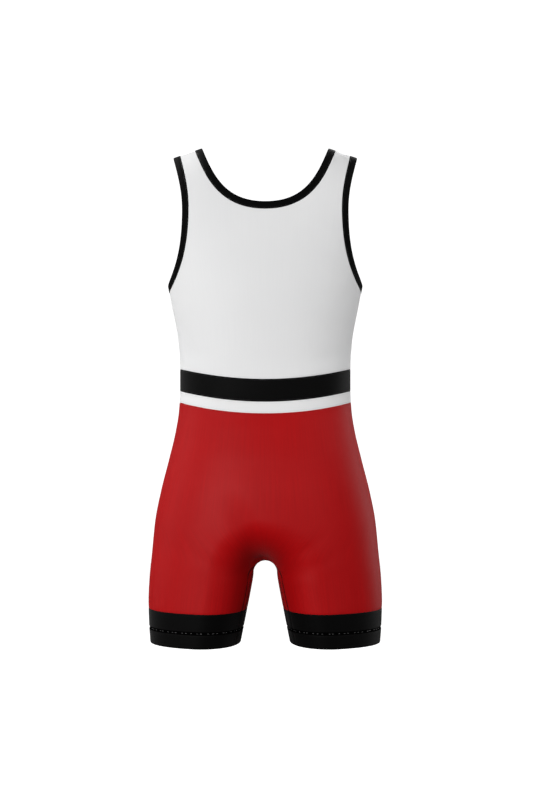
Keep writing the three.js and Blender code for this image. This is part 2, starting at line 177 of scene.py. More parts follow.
@dataclass
class GarmentForm:
    """The hollow form that the worn cloth takes, as one smooth surface: the inside of the cloth."""

    depth_power: float = 2.2
    crest_middle: float = 125.5
    crest_slope: float = 0.336
    crown_from: float = -130.0
    crown_power: float = 2.2
    arch_apex: float = -654.9
    arch_radius: float = 19.9
    arch_spread: float = 0.193
    arch_ease: float = 8.0
    arch_reach: float = 75.0
    half_width: SmoothColumn = field(default_factory=lambda: SmoothColumn(LEVELS, "half"))
    square: SmoothColumn = field(default_factory=lambda: SmoothColumn(LEVELS, "square"))
    back: SmoothColumn = field(default_factory=lambda: SmoothColumn(LEVELS, "back"))
    front: SmoothColumn = field(default_factory=lambda: SmoothColumn(LEVELS, "front"))

    @property
    def arch_centre(self) -> float:
        """The height of the centre of the arch between the legs."""
        return self.arch_apex - self.arch_radius

    def face_depth(self, z: np.ndarray, side: np.ndarray | int) -> np.ndarray:
        """The greatest depth of the back, where side is below 0, or of the front."""
        return np.where(np.asarray(side) < 0, self.back(z), self.front(z))

    def plan_share(self, x: np.ndarray, z: np.ndarray) -> np.ndarray:
        """The share of the depth that the width takes up: 0 at the centre, 1 at the side."""
        return np.power(np.abs(x) / self.half_width(z), self.square(z))

    def crest(self, x: np.ndarray | float) -> np.ndarray:
        """The height of the shoulders' crest."""
        return (self.crest_middle - np.abs(x)) * self.crest_slope

    def crown_share(self, x: np.ndarray, z: np.ndarray) -> np.ndarray:
        """Works out how the shoulders round over.

        Args:
            x: the places across.
            z: the heights.

        Returns:
            The share of the depth that the rounding takes up.
        """
        top = self.crest(x)
        rest = np.maximum(1 - self.plan_share(x, top), TINY)
        risen = np.maximum(z - self.crown_from, 0) / np.maximum(top - self.crown_from, 1)
        return rest * np.power(risen, self.crown_power)

    def half_gap(self, z: np.ndarray) -> np.ndarray:
        """Half the gap between the legs below the round of the arch."""
        below = self.arch_centre - z
        return self.arch_radius + self.arch_spread * (np.hypot(below, self.arch_ease) - self.arch_ease)

    def arch_share(self, x: np.ndarray, z: np.ndarray) -> np.ndarray:
        """Works out how the cloth rounds in to the gap between the legs.

        Args:
            x: the places across.
            z: the heights.

        Returns:
            The share of the depth that the rounding takes up.
        """
        above = z - self.arch_centre
        round_gap = np.hypot(x, above) - self.arch_radius
        clear = np.where(above > 0, round_gap, np.abs(x) - self.half_gap(z))
        return np.square(np.maximum(1 - clear / self.arch_reach, 0))

    def fullness(self, x: np.ndarray, z: np.ndarray) -> np.ndarray:
        """What is left of the depth at a place seen square on."""
        return 1 - self.plan_share(x, z) - self.crown_share(x, z) - self.arch_share(x, z)

    def depth_at(self, x: np.ndarray, z: np.ndarray, side: np.ndarray | int) -> np.ndarray:
        """How far the cloth lies behind or in front of the side seams."""
        return self.face_depth(z, side) * np.power(np.maximum(self.fullness(x, z), 0), 1 / self.depth_power)

    def excess(self, p: np.ndarray) -> np.ndarray:
        """Above 0 outside the form and below 0 inside it."""
        x, y, z = p[..., 0], p[..., 1], p[..., 2]
        return np.power(np.abs(y) / self.face_depth(z, y), self.depth_power) - self.fullness(x, z)

    def gradient(self, p: np.ndarray) -> np.ndarray:
        """Works out the surface's slope.

        Args:
            p: points near the surface.

        Returns:
            The way that it slopes at each point, longer where it is steeper.
        """
        parts = []
        for axis in range(3):
            shift = np.zeros(3)
            shift[axis] = SLOPE_STEP
            parts.append((self.excess(p + shift) - self.excess(p - shift)) / (2 * SLOPE_STEP))
        return np.stack(parts, axis=-1)

    def outward(self, p: np.ndarray) -> np.ndarray:
        """The way out of the form at each point."""
        return unit(self.gradient(p))

    def settled(self, start: np.ndarray) -> np.ndarray:
        """Moves points on to the surface.

        Args:
            start: points close to the surface.

        Returns:
            The points of the surface nearest to them.
        """
        p = np.array(start, float)
        for _ in range(SETTLING_STEPS):
            slope = self.gradient(p)
            size = np.maximum((slope**2).sum(-1, keepdims=True), 1e-12)
            p = p - slope * self.excess(p)[..., None] / size
        return p

    def on_form(self, x: np.ndarray, z: np.ndarray, face: Face) -> np.ndarray:
        """Puts points on one face.

        Args:
            x: the places across.
            z: the heights.
            face: the face of the garment.

        Returns:
            The points of the surface.
        """
        x, z = np.broadcast_arrays(np.asarray(x, float), np.asarray(z, float))
        return np.stack([x, face.value * self.depth_at(x, z, face.value), z], axis=-1)

    def inner_edge(self, z: np.ndarray) -> np.ndarray:
        """Works out how near the centre line the shorts reach.

        Args:
            z: the heights.

        Returns:
            Half the gap between the legs, or 0 above the crotch.
        """
        above = z - self.arch_centre
        x = np.zeros_like(z)
        for _ in range(EDGE_STEPS):
            slack = self.arch_reach * (1 - np.sqrt(np.maximum(1 - self.plan_share(x, z), 0)))
            bow = np.sqrt(np.maximum((self.arch_radius + slack) ** 2 - above**2, 0))
            x = np.where(above > 0, bow, self.half_gap(z) + slack)
        return x

    def round_shorts(
        self, z: np.ndarray, turn: np.ndarray, face: Face, rounding: np.ndarray | float
    ) -> np.ndarray:
        """Points round the shorts.

        Args:
            z: the heights.
            turn: 0 at the side seam, 1 at the centre line or at the inmost line of a leg, and past
                1 on the other face.
            face: the face that the turn starts on.
            rounding: 0 where the rows end on the centre line, 1 where they go round a leg.

        Returns:
            The points of the right side.
        """
        inner = self.inner_edge(z)
        flat = np.cos(turn * math.pi / 2)
        whole = (1 + np.cos(turn * math.pi)) / 2
        x = inner + (self.half_width(z) - inner) * (flat + (whole - flat) * rounding)
        side = np.where(turn > 1, -face.value, face.value)
        return np.stack([x, side * self.depth_at(x, z, side), z], axis=-1)

    def round_leg(self, z: np.ndarray | float, turn: np.ndarray | float) -> np.ndarray:
        """Points round the right leg, from the side seam at turn 0 by the back to turn 2."""
        z, turn = np.broadcast_arrays(np.asarray(z, float), np.asarray(turn, float))
        return self.round_shorts(z, turn, Face.BACK, 1.0)

    def turn_at_depth(self, z: np.ndarray, y: np.ndarray, face: Face) -> np.ndarray:
        """The turn at which the inside of a leg comes to a depth.

        Args:
            z: the heights.
            y: the depths to find, below 0 behind the side seams.
            face: the face that the turn starts on.

        Returns:
            The turns, from 0 at the side seam.
        """
        found = np.zeros_like(z)
        for side in Face:
            near = np.full_like(z, 0.5)
            far = np.ones_like(z)
            for _ in range(HALVINGS):
                middle = (near + far) / 2
                deep_tone_and_shade = np.abs(self.round_shorts(z, middle, side, 1.0)[..., 1]) > np.abs(y)
                near = np.where(deep_tone_and_shade, middle, near)
                far = np.where(deep_tone_and_shade, far, middle)
            here = np.where(y < 0, Face.BACK.value, Face.FRONT.value) == side.value
            turns = near if side is face else 2 - near
            found = np.where(here, turns, found)
        return found


def bezier(a: float, b: float, c: float, d: float, t: np.ndarray) -> np.ndarray:
    """A cubic curve from a to d, which b and c draw towards themselves."""
    s = 1 - t
    return a * s**3 + 3 * b * s * s * t + 3 * c * s * t * t + d * t**3


# The share of an edge that its direction is measured over.
EDGE_REACH = 0.004


@dataclass(frozen=True)
class NeckCut:
    """One face's neckline, seen square on: how low it drops, and how it leaves its two ends."""

    drop: float
    flat: float
    rise: float
    corner: float = 101.7
    steepness: float = 2.75


@dataclass(frozen=True)
class ArmCut:
    """One face's armhole, seen square on: where it is cut in furthest, and its two curves."""

    inmost: float
    height: float
    upper: float
    upper_end: float
    lower: float
    lower_end: float
    corner: float = 148.2
    slant: float = 0.3
    underarm: float = -213.0
    underarm_slant: float = 0.62


@dataclass(frozen=True)
class Edge:
    """A stretch of the garment's edge: its points on the form, and the way into the panel."""

    points: np.ndarray
    into: np.ndarray


@dataclass
class Cut:
    """The garment's cut: its edges and the levels of its crosswise seams, in millimetres."""

    form: GarmentForm
    cloth: float = 1.2
    binding: float = 12.2
    seam_gap: float = 0.3
    waist_top: float = -347.2
    band_height: float = 35.6
    stripe_height: float = 18.0
    cuff_top: float = -731.6
    hem: float = -787.4
    turn_up: float = 23.4
    groove_rise: float = 1.7
    inseam_setback: float = 31.0
    inseam_over: float = 36.0
    allowance_setback: float = 46.0
    allowance_over: float = 24.0
    necks: dict[Face, NeckCut] = field(
        default_factory=lambda: {Face.BACK: NeckCut(88.4, 62, 20), Face.FRONT: NeckCut(150, 64, 26)}
    )
    arms: dict[Face, ArmCut] = field(
        default_factory=lambda: {
            Face.BACK: ArmCut(130.3, -101, 40, 30, 46, 30),
            Face.FRONT: ArmCut(123, -112, 44, 34, 44, 32),
        }
    )
    dips: dict[Face, float] = field(default_factory=lambda: {Face.BACK: 17.0, Face.FRONT: 8.0})

    @property
    def setback(self) -> float:
        """How far the cloth keeps back from the middle of a seam between two pieces of a face."""
        return self.seam_gap / 4

    def neckline(self, face: Face, t: np.ndarray) -> tuple[np.ndarray, np.ndarray]:
        """Draws the neckline seen square on.

        Args:
            face: the face of the garment.
            t: from 0 at the centre to 1 at the shoulder.

        Returns:
            The places across and the heights.
        """
        cut = self.necks[face]
        top = float(self.form.crest(cut.corner))
        x = bezier(0, cut.flat, cut.corner - cut.rise, cut.corner, t)
        z = bezier(-cut.drop, -cut.drop, top - cut.rise * cut.steepness, top, t)
        return x, z

    def armhole(self, face: Face, t: np.ndarray) -> tuple[np.ndarray, np.ndarray]:
        """Draws the armhole seen square on.

        Args:
            face: the face of the garment.
            t: from 0 at the underarm to 1 at the shoulder.

        Returns:
            The places across and the heights.
        """
        cut = self.arms[face]
        side = float(self.form.half_width(cut.underarm))
        top = float(self.form.crest(cut.corner))
        low, high = np.clip(t * 2, 0, 1), np.clip(t * 2 - 1, 0, 1)
        low_x = bezier(side, side - cut.lower_end * cut.underarm_slant, cut.inmost, cut.inmost, low)
        low_z = bezier(cut.underarm, cut.underarm + cut.lower_end, cut.height - cut.lower, cut.height, low)
        high_x = bezier(cut.inmost, cut.inmost, cut.corner - cut.upper * cut.slant, cut.corner, high)
        high_z = bezier(cut.height, cut.height + cut.upper_end, top - cut.upper, top, high)
        return np.where(t < 0.5, low_x, high_x), np.where(t < 0.5, low_z, high_z)

    def _edge(
        self,
        place: Callable[[Face, np.ndarray], tuple[np.ndarray, np.ndarray]],
        ease: Callable[[np.ndarray], np.ndarray],
        face: Face,
        steps: np.ndarray,
        start_along: tuple[float, float, float],
        inwards: tuple[float, float, float],
    ) -> Edge:
        """A stretch of edge at even steps along the cloth.

        Args:
            place: the edge seen square on.
            ease: turns even steps into the edge's own measure.
            face: the face of the garment.
            steps: from 0 to 1.
            start_along: the edge's direction at its start.
            inwards: a direction that points into the panel all along.

        Returns:
            The edge.
        """

        def point_at(step: np.ndarray) -> np.ndarray:
            """The edge's points on the form."""
            return self.form.on_form(*place(face, ease(np.clip(step, 0, 1))), face)

        points = point_at(steps)
        along = point_at(steps + EDGE_REACH) - point_at(steps - EDGE_REACH)
        along[steps <= 0] = start_along
        along[steps >= 1] = (0, 1, 0)
        into = unit(np.cross(self.form.outward(points), along))
        into *= np.where((into * np.array(inwards)).sum(-1, keepdims=True) < 0, -1, 1)
        return Edge(points, into)

    def neck_edge(self, face: Face, steps: np.ndarray) -> Edge:
        """The neck's edge from the centre to the shoulder crest."""
        return self._edge(self.neckline, lambda t: 1 - (1 - t) ** 2, face, steps, (1, 0, 0), (1, 0, -1))

    def arm_edge(self, face: Face, steps: np.ndarray) -> Edge:
        """The armhole's edge from the underarm to the shoulder crest."""
        ease = partial(smoothstep, low=0, high=1)
        return self._edge(self.armhole, ease, face, steps, (0, 1, 0), (-1, 0, -0.5))

    def moved_in(self, edge: Edge, distance: float) -> np.ndarray:
        """Moves an edge's points into the panel along the form.

        Args:
            edge: the edge.
            distance: how far, in millimetres.

        Returns:
            The moved points. Those on the shoulder or side seam stay on it.
        """
        start = edge.points + edge.into * distance
        on_seam = np.abs(edge.points[..., 1]) < TINY
        start[on_seam, 1] = 0
        moved = self.form.settled(start) if distance else start
        moved[on_seam, 1] = 0
        return moved

    def inseam_depth(self, z: np.ndarray) -> np.ndarray:
        """How far behind the middle of the inner leg the inseam lies."""
        return -self.inseam_setback * smoothstep(self.form.arch_apex - z, 0, self.inseam_over)

    def allowance_line(self, z: np.ndarray) -> np.ndarray:
        """Draws the line where the inseam's allowance, turned to the back, is sewn down.

        Args:
            z: the heights.

        Returns:
            The line's points on the right leg.
        """
        below = smoothstep(self.form.arch_apex - z, 0, self.allowance_over)
        turn = self.form.turn_at_depth(z, -self.allowance_setback * below, Face.BACK)
        return self.form.round_leg(z, turn)


@dataclass(frozen=True)
class Crease:
    """A soft trough, or a ridge where its depth is below 0, seen square on one face."""

    face: Face
    x: float
    z: float
    angle: float
    length: float
    width: float
    depth: float


# The first three are the hollow above the crotch, which leans to the wearer's left on the back.
# Elsewhere the tension in a close knit shows as long shallow troughs, uneven from side to side.
# Each bows a little along its length and fades out towards the side seams, between these depths.
CREASE_BOW = 0.002
CREASE_FADE = (8, 40)
CREASES = (
    Crease(Face.BACK, -19, -612, 112, 124, 21, 6.2),
    Crease(Face.BACK, -12, -648, 106, 66, 34, 3.6),
    Crease(Face.FRONT, 4, -622, 88, 100, 24, 2.6),
    Crease(Face.BACK, 62, -628, 34, 74, 9, 0.7),
    Crease(Face.BACK, -58, -634, -30, 66, 8, 0.6),
    Crease(Face.BACK, 88, -650, 22, 60, 10, 0.5),
    Crease(Face.BACK, -92, -646, -18, 70, 11, 0.45),
    Crease(Face.BACK, 128, -232, 62, 46, 8, 0.6),
    Crease(Face.BACK, -126, -236, -66, 52, 9, 0.55),
    Crease(Face.BACK, 96, -330, 14, 60, 8, 0.4),
    Crease(Face.BACK, -100, -322, -10, 54, 7, 0.45),
    Crease(Face.FRONT, 48, -634, 38, 70, 8, 0.9),
    Crease(Face.FRONT, -52, -628, -35, 76, 9, 0.8),
    Crease(Face.FRONT, 82, -618, 28, 62, 9, 0.6),
    Crease(Face.FRONT, -78, -612, -24, 58, 10, 0.7),
    Crease(Face.FRONT, 120, -238, 58, 50, 9, 0.7),
    Crease(Face.FRONT, -122, -234, -60, 44, 8, 0.8),
    Crease(Face.FRONT, 90, -322, 12, 70, 9, 0.6),
    Crease(Face.FRONT, -86, -330, -16, 62, 8, 0.5),
)


def crease_depth(points: np.ndarray) -> np.ndarray:
    """Adds up the creases.

    Args:
        points: points of the form.

    Returns:
        How far the creases let the cloth in at each point.
    """
    total = np.zeros(points.shape[:-1])
    for crease in CREASES:
        dx, dz = points[..., 0] - crease.x, points[..., 2] - crease.z
        turn = math.radians(crease.angle)
        along = dx * math.cos(turn) + dz * math.sin(turn)
        across = dz * math.cos(turn) - dx * math.sin(turn)
        bend = across - CREASE_BOW * along**2
        near = np.exp(-((bend / crease.width) ** 2) - (2 * along / crease.length) ** 2)
        facing = smoothstep(points[..., 1] * crease.face.value, *CREASE_FADE)
        total += crease.depth * near * facing
    return total


# A distance from a seam that is too long to show, and what turns the right half to the left.
FAR = 100.0
MIRROR = np.array([-1, 1, 1])


def lengths_along(line: np.ndarray) -> np.ndarray:
    """The length of the line up to each of its points."""
    return np.concatenate([[0], np.cumsum(np.linalg.norm(np.diff(line, axis=0), axis=1))])


def point_along(line: np.ndarray, at: np.ndarray, where: np.ndarray) -> np.ndarray:
    """The points of a line at some lengths along it, where at is the length at each of its points."""
    return np.stack([np.interp(where, at, line[:, axis]) for axis in range(3)], axis=1)


@dataclass(frozen=True)
class SeamLines:
    """Lines that the cloth sinks in to: those of the right half and their mirror images."""

    lines: Sequence[np.ndarray] = ()
    spacing: float = 0.6

    def distance(self, points: np.ndarray) -> np.ndarray:
        """Measures how far points are from the lines.

        Args:
            points: the points.

        Returns:
            The distance from each point to the nearest line, or FAR where there is no line.
        """
        if not self.lines:
            return np.full(points.shape[:-1], FAR)
        close = []
        for line in self.lines:
            at = lengths_along(line)
            even = np.linspace(0, at[-1], max(int(at[-1] / self.spacing), 2))
            close.append(point_along(line, at, even))
        right = np.concatenate(close)
        tree = KDTree(2 * len(right))
        for i, point in enumerate(np.concatenate([right, right * MIRROR])):
            tree.insert(point, i)
        tree.balance()
        flat = points.reshape(-1, 3)
        return np.array([tree.find(point)[2] for point in flat]).reshape(points.shape[:-1])


@dataclass
class Net:
    """Rows of points on the form, with each point's place on the flat cloth in millimetres."""

    points: np.ndarray
    flat: np.ndarray

    def mirrored(self) -> "Net":
        """The same net on the other side of the garment."""
        return Net(self.points * MIRROR, self.flat * MIRROR[:2])


# The inseams lie this much wider than the other seams, as the photograph shows.
# The spread widens the painted shade along the inseams as well as their sinking.
INSEAM_SPREAD = 2.4
# The small puckers beside a seam are three waves: for each the axis that it runs along, the
# millimetres to one radian of it and its shift in radians.
PUCKER_WAVES = ((2, 1.9, 0), (2, 3.1, 1), (0, 2.6, 0))


@dataclass
class ClothShell:
    """Builds one piece's closed thin wall from nets on the form."""

    form: GarmentForm
    cloth: float
    seam_sunk: float = 0.3
    seam_width: float = 1.3
    pucker: float = 0.1
    pucker_reach: float = 5.0

    def lift(self, skin: np.ndarray, away: np.ndarray) -> np.ndarray:
        """Works out how far creases and puckers move the cloth out.

        Args:
            skin: points of the form.
            away: their distances from a seam.

        Returns:
            The moves, in millimetres.
        """
        waves = [np.sin(skin[:, axis] / length + shift) for axis, length, shift in PUCKER_WAVES]
        ripple = sum(waves) / len(waves) * np.exp(-((away / self.pucker_reach) ** 2))
        return self.pucker * ripple - crease_depth(skin)

    def build(
        self,
        name: str,
        half: Net,
        seams: Sequence[np.ndarray],
        dark: Sequence[np.ndarray],
        inseams: Sequence[np.ndarray],
    ) -> bpy.types.Object:
        """Makes the piece of a net and its mirror image.

        Args:
            name: the piece's name.
            half: the net of the right half.
            seams: the right half's lines that the cloth sinks in to.
            dark: the seams between pieces of one colour, painted with shade as dark lines.
            inseams: the seams that sink in wider, painted with shade as a dark line down the inner leg.

        Returns:
            The new object.
        """
        nets = (half, half.mirrored())
        points = np.concatenate([net.points.reshape(-1, 3) for net in nets])
        flat = np.concatenate([net.flat.reshape(-1, 2) for net in nets])
        shared = np.round(points, 4)
        _, first, number = np.unique(shared, axis=0, return_index=True, return_inverse=True)
        number = number.reshape(-1)
        skin, flat = points[first], flat[first]
        quads = self._quads(nets, number, skin)
        away = SeamLines(seams).distance(skin)
        from_inseam = SeamLines(inseams).distance(skin) / INSEAM_SPREAD
        normals = self.form.outward(skin)
        moved = self.lift(skin, away)
        sunk = np.exp(-((away / self.seam_width) ** 2)) + np.exp(-((from_inseam / self.seam_width) ** 2))
        outer = skin + normals * (self.cloth + moved - self.seam_sunk * sunk)[:, None]
        inner = skin + normals * moved[:, None]
        # The distance from the dark seams and inseams goes to the material, which paints shade along them.
        from_dark = np.minimum(SeamLines(dark).distance(skin), from_inseam)
        cloth = np.column_stack([flat, from_dark])
        return self._mesh(name, outer, inner, quads, cloth)

    def _quads(self, nets: Sequence[Net], number: np.ndarray, skin: np.ndarray) -> np.ndarray:
        """Lists the nets' faces.

        Args:
            nets: the nets.
            number: the number of the shared point at each of their points.
            skin: the shared points.

        Returns:
            The point numbers round each face, seen from outside.
        """
        found = []
        start = 0
        for net in nets:
            rows, columns = net.points.shape[:2]
            grid = number[start : start + rows * columns].reshape(rows, columns)
            start += rows * columns
            quads = np.stack([grid[:-1, :-1], grid[:-1, 1:], grid[1:, 1:], grid[1:, :-1]], axis=-1)
            quads = quads.reshape(-1, 4)
            across = skin[quads[:, 2]] - skin[quads[:, 0]]
            other = skin[quads[:, 3]] - skin[quads[:, 1]]
            facing = (np.cross(across, other) * self.form.outward(skin[quads[:, 0]])).sum()
            found.append(quads if facing > 0 else quads[:, ::-1])
        return np.concatenate(found)

    def _mesh(
        self, name: str, outer: np.ndarray, inner: np.ndarray, quads: np.ndarray, cloth: np.ndarray
    ) -> bpy.types.Object:
        """Joins the outside, the inside and the rim into one mesh.

        Args:
            name: the piece's name.
            outer: the points of the outside.
            inner: the points of the inside, in the same order.
            quads: the outside's faces.
            cloth: for each point, its place on the flat cloth and its distance from a seam.

        Returns:
            The new object, with sharp edges along its rim.
        """
        count = len(outer)
        edges = np.concatenate([quads[:, [i, (i + 1) % 4]] for i in range(4)])
        edges = edges[edges[:, 0] != edges[:, 1]]
        keys = set(map(tuple, edges.tolist()))
        free = [edge for edge in keys if (edge[1], edge[0]) not in keys]
        rim = [(b, a, a + count, b + count) for a, b in sorted(free)]
        faces = quads.tolist() + (quads[:, ::-1] + count).tolist() + rim
        points = np.concatenate([outer, inner])
        piece = new_mesh_object(name, points, faces, np.concatenate([cloth, cloth]))
        on_rim = np.zeros(2 * count, bool)
        on_rim[np.unique(rim)] = True
        pairs = np.array([edge.vertices[:] for edge in piece.data.edges])
        sharp = on_rim[pairs].all(axis=1)
        piece.data.attributes.new("sharp_edge", "BOOLEAN", "EDGE").data.foreach_set("value", sharp)
        return piece


def new_mesh_object(
    name: str, points: np.ndarray, faces: Sequence[Sequence[int]], cloth: np.ndarray
) -> bpy.types.Object:
    """Makes a smooth mesh object in the row's frame.

    Args:
        name: the object's name.
        points: the points in millimetres.
        faces: the point numbers of each face.
        cloth: for each point, its place on the flat cloth and its distance from a seam.

    Returns:
        The new object, linked to the scene.
    """
    clean = [list(dict.fromkeys(face)) for face in faces]
    mesh = bpy.data.meshes.new(name)
    mesh.from_pydata((points * MM).tolist(), [], [face for face in clean if len(face) > 2])
    mesh.polygons.foreach_set("use_smooth", np.ones(len(mesh.polygons), bool))
    attribute = mesh.attributes.new("cloth_mm", "FLOAT_VECTOR", "POINT")
    attribute.data.foreach_set("vector", cloth.astype(np.float32).ravel())
    mesh.validate()
    mesh.update()
    return add_object(name, mesh)


def add_object(name: str, data: bpy.types.ID) -> bpy.types.Object:
    """A new object in the scene."""
    added = bpy.data.objects.new(name, data)
    bpy.context.scene.collection.objects.link(added)
    return added


# The distances from a seam at which the mesh has close rows.
NEAR_SEAM = (0.5, 1.1, 2.0, 3.4)


def close_ends(count: int, length: float, both: bool = True) -> np.ndarray:
    """Steps from 0 to 1 that lie closer together by the seam at 0, and at 1 too if asked.

    Args:
        count: the number of even steps between the close ones.
        length: the whole length that 1 stands for.
        both: whether there is a seam at 1.

    Returns:
        The steps.
    """
    start = np.array(NEAR_SEAM) / length
    end = 1 - start[::-1] if both else np.empty(0)
    middle = np.linspace(start[-1], end[0] if both else 1.0, count + 1)
    if both:
        return np.concatenate([[0], start[:-1], middle, end[1:], [1]])
    return np.concatenate([[0], start[:-1], middle])


def ring_mesh(name: str, rings: np.ndarray, cloth: np.ndarray) -> bpy.types.Object:
    """A closed solid from sections that follow each other round a ring, the last by the first.

    Args:
        name: the piece's name.
        rings: the sections, as an array of sections by points by 3.
        cloth: for each point, its place on the flat cloth and its distance from a seam.

    Returns:
        The new object.
    """
    count, sides = rings.shape[:2]
    section = np.arange(count)[:, None]
    side = np.arange(sides)[None, :]
    next_section, next_side = (section + 1) % count, (side + 1) % sides
    corners = [
        section * sides + side,
        section * sides + next_side,
        next_section * sides + next_side,
        next_section * sides + side,
    ]
    faces = np.stack(corners, axis=-1).reshape(-1, 4)
    points = rings.reshape(-1, 3)
    a, b, c, d = (points[faces[:, i]] for i in range(4))
    volume = (a * np.cross(b, c)).sum() + (a * np.cross(c, d)).sum()
    if volume < 0:
        faces = faces[:, ::-1]
    return new_mesh_object(name, points, faces.tolist(), cloth.reshape(-1, 3))


# A stitch's form: for each place along it, how thick it is and how high it lies, in radii.
STITCH_FORM = (
    (0, 0.25, -0.9),
    (0.12, 0.85, 0.1),
    (0.5, 1, 0.35),
    (0.88, 0.85, 0.1),
    (1, 0.25, -0.9),
)


@dataclass
class Thread:
    """Stitches of sewing thread laid along a line as short rounded dashes."""

    length: float = 2.7
    gap: float = 0.9
    radius: float = 0.24
    uneven: float = 0.0
    unevenness_turn: float = 2.4
    sides: int = 6

    def build(self, name: str, lines: Sequence[tuple[np.ndarray, np.ndarray]]) -> bpy.types.Object:
        """Makes the stitches of one or more lines as one piece.

        Args:
            name: the piece's name.
            lines: for each line its points and the way out of the cloth there.

        Returns:
            The new object.
        """
        points: list[np.ndarray] = []
        faces: list[list[int]] = []
        for line, out in lines:
            at = lengths_along(line)
            starts = np.arange(self.uneven, at[-1] - self.length - self.uneven, self.length + self.gap)
            starts += self.uneven * np.sin(self.unevenness_turn * np.arange(len(starts)))
            for start in starts:
                self._stitch(line, out, at, float(start), points, faces)
        every = np.concatenate(points)
        cloth = np.zeros((len(every), 3))
        cloth[:, 2] = FAR
        return new_mesh_object(name, every, faces, cloth)

    def _stitch(
        self,
        line: np.ndarray,
        out: np.ndarray,
        at: np.ndarray,
        start: float,
        points: list[np.ndarray],
        faces: list[list[int]],
    ) -> None:
        """Adds one stitch, which dips in to the cloth at both ends.

        Args:
            line: the line that it lies on.
            out: the way out of the cloth at each of the line's points.
            at: the line's length up to each of them.
            start: the length at which the stitch starts.
            points: the points so far, which it adds to.
            faces: the faces so far, which it adds to.
        """
        shares, swell, lift = np.array(STITCH_FORM).T
        where = start + shares * self.length
        centre = point_along(line, at, where)
        up = unit(point_along(out, at, where))
        along = unit(centre[-1] - centre[0])[None, :]
        aside = unit(np.cross(up, along))
        centre = centre + up * (lift * self.radius)[:, None]
        angles = np.linspace(0, 2 * math.pi, self.sides, endpoint=False)
        ring = np.cos(angles)[None, :, None] * aside[:, None, :]
        ring = ring + np.sin(angles)[None, :, None] * up[:, None, :]
        body = centre[:, None, :] + ring * (swell * self.radius)[:, None, None]
        base = sum(len(p) for p in points)
        points.append(body.reshape(-1, 3))
        for row in range(len(shares) - 1):
            for side in range(self.sides):
                a = base + row * self.sides + side
                b = base + row * self.sides + (side + 1) % self.sides
                faces.append([a, b, b + self.sides, a + self.sides])
        faces.append([base + side for side in reversed(range(self.sides))])
        top = base + (len(shares) - 1) * self.sides
        faces.append([top + side for side in range(self.sides)])


def srgb_hex_to_linear(code: str) -> tuple[float, float, float, float]:
    """Turns a hex colour into the values that the shaders take.

    Args:
        code: six hex digits after a #.

    Returns:
        The linear values, with alpha 1.
    """
    parts = [int(code.lstrip("#")[i : i + 2], 16) / 255 for i in (0, 2, 4)]
    linear = [c / 12.92 if c <= 0.04045 else ((c + 0.055) / 1.055) ** 2.4 for c in parts]
    return (linear[0], linear[1], linear[2], 1.0)


def new_material(name: str) -> bpy.types.Material:
    """A material with an empty node tree."""
    material = bpy.data.materials.new(name)
    material.use_nodes = True
    material.node_tree.nodes.clear()
    return material


def add_node(
    tree: bpy.types.NodeTree, kind: str, settings: dict[Any, Any] | None = None, **links: Any
) -> bpy.types.Node:
    """Adds a node.

    Args:
        tree: the node tree.
        kind: the node's type.
        settings: its own properties and the values of its sockets, by name or number.
        links: for each socket the output that feeds it, or a node whose first output does; in_0
            names the first socket.

    Returns:
        The new node.
    """
    node = tree.nodes.new(kind)
    for key, value in (settings or {}).items():
        if isinstance(key, int) or key in node.inputs:
            node.inputs[key].default_value = value
        else:
            setattr(node, key, value)
    for key, source in links.items():
        output = source.outputs[0] if isinstance(source, bpy.types.Node) else source
        place = int(key[3:]) if key.startswith("in_") else key.replace("_", " ")
        tree.links.new(output, node.inputs[place])
    return node


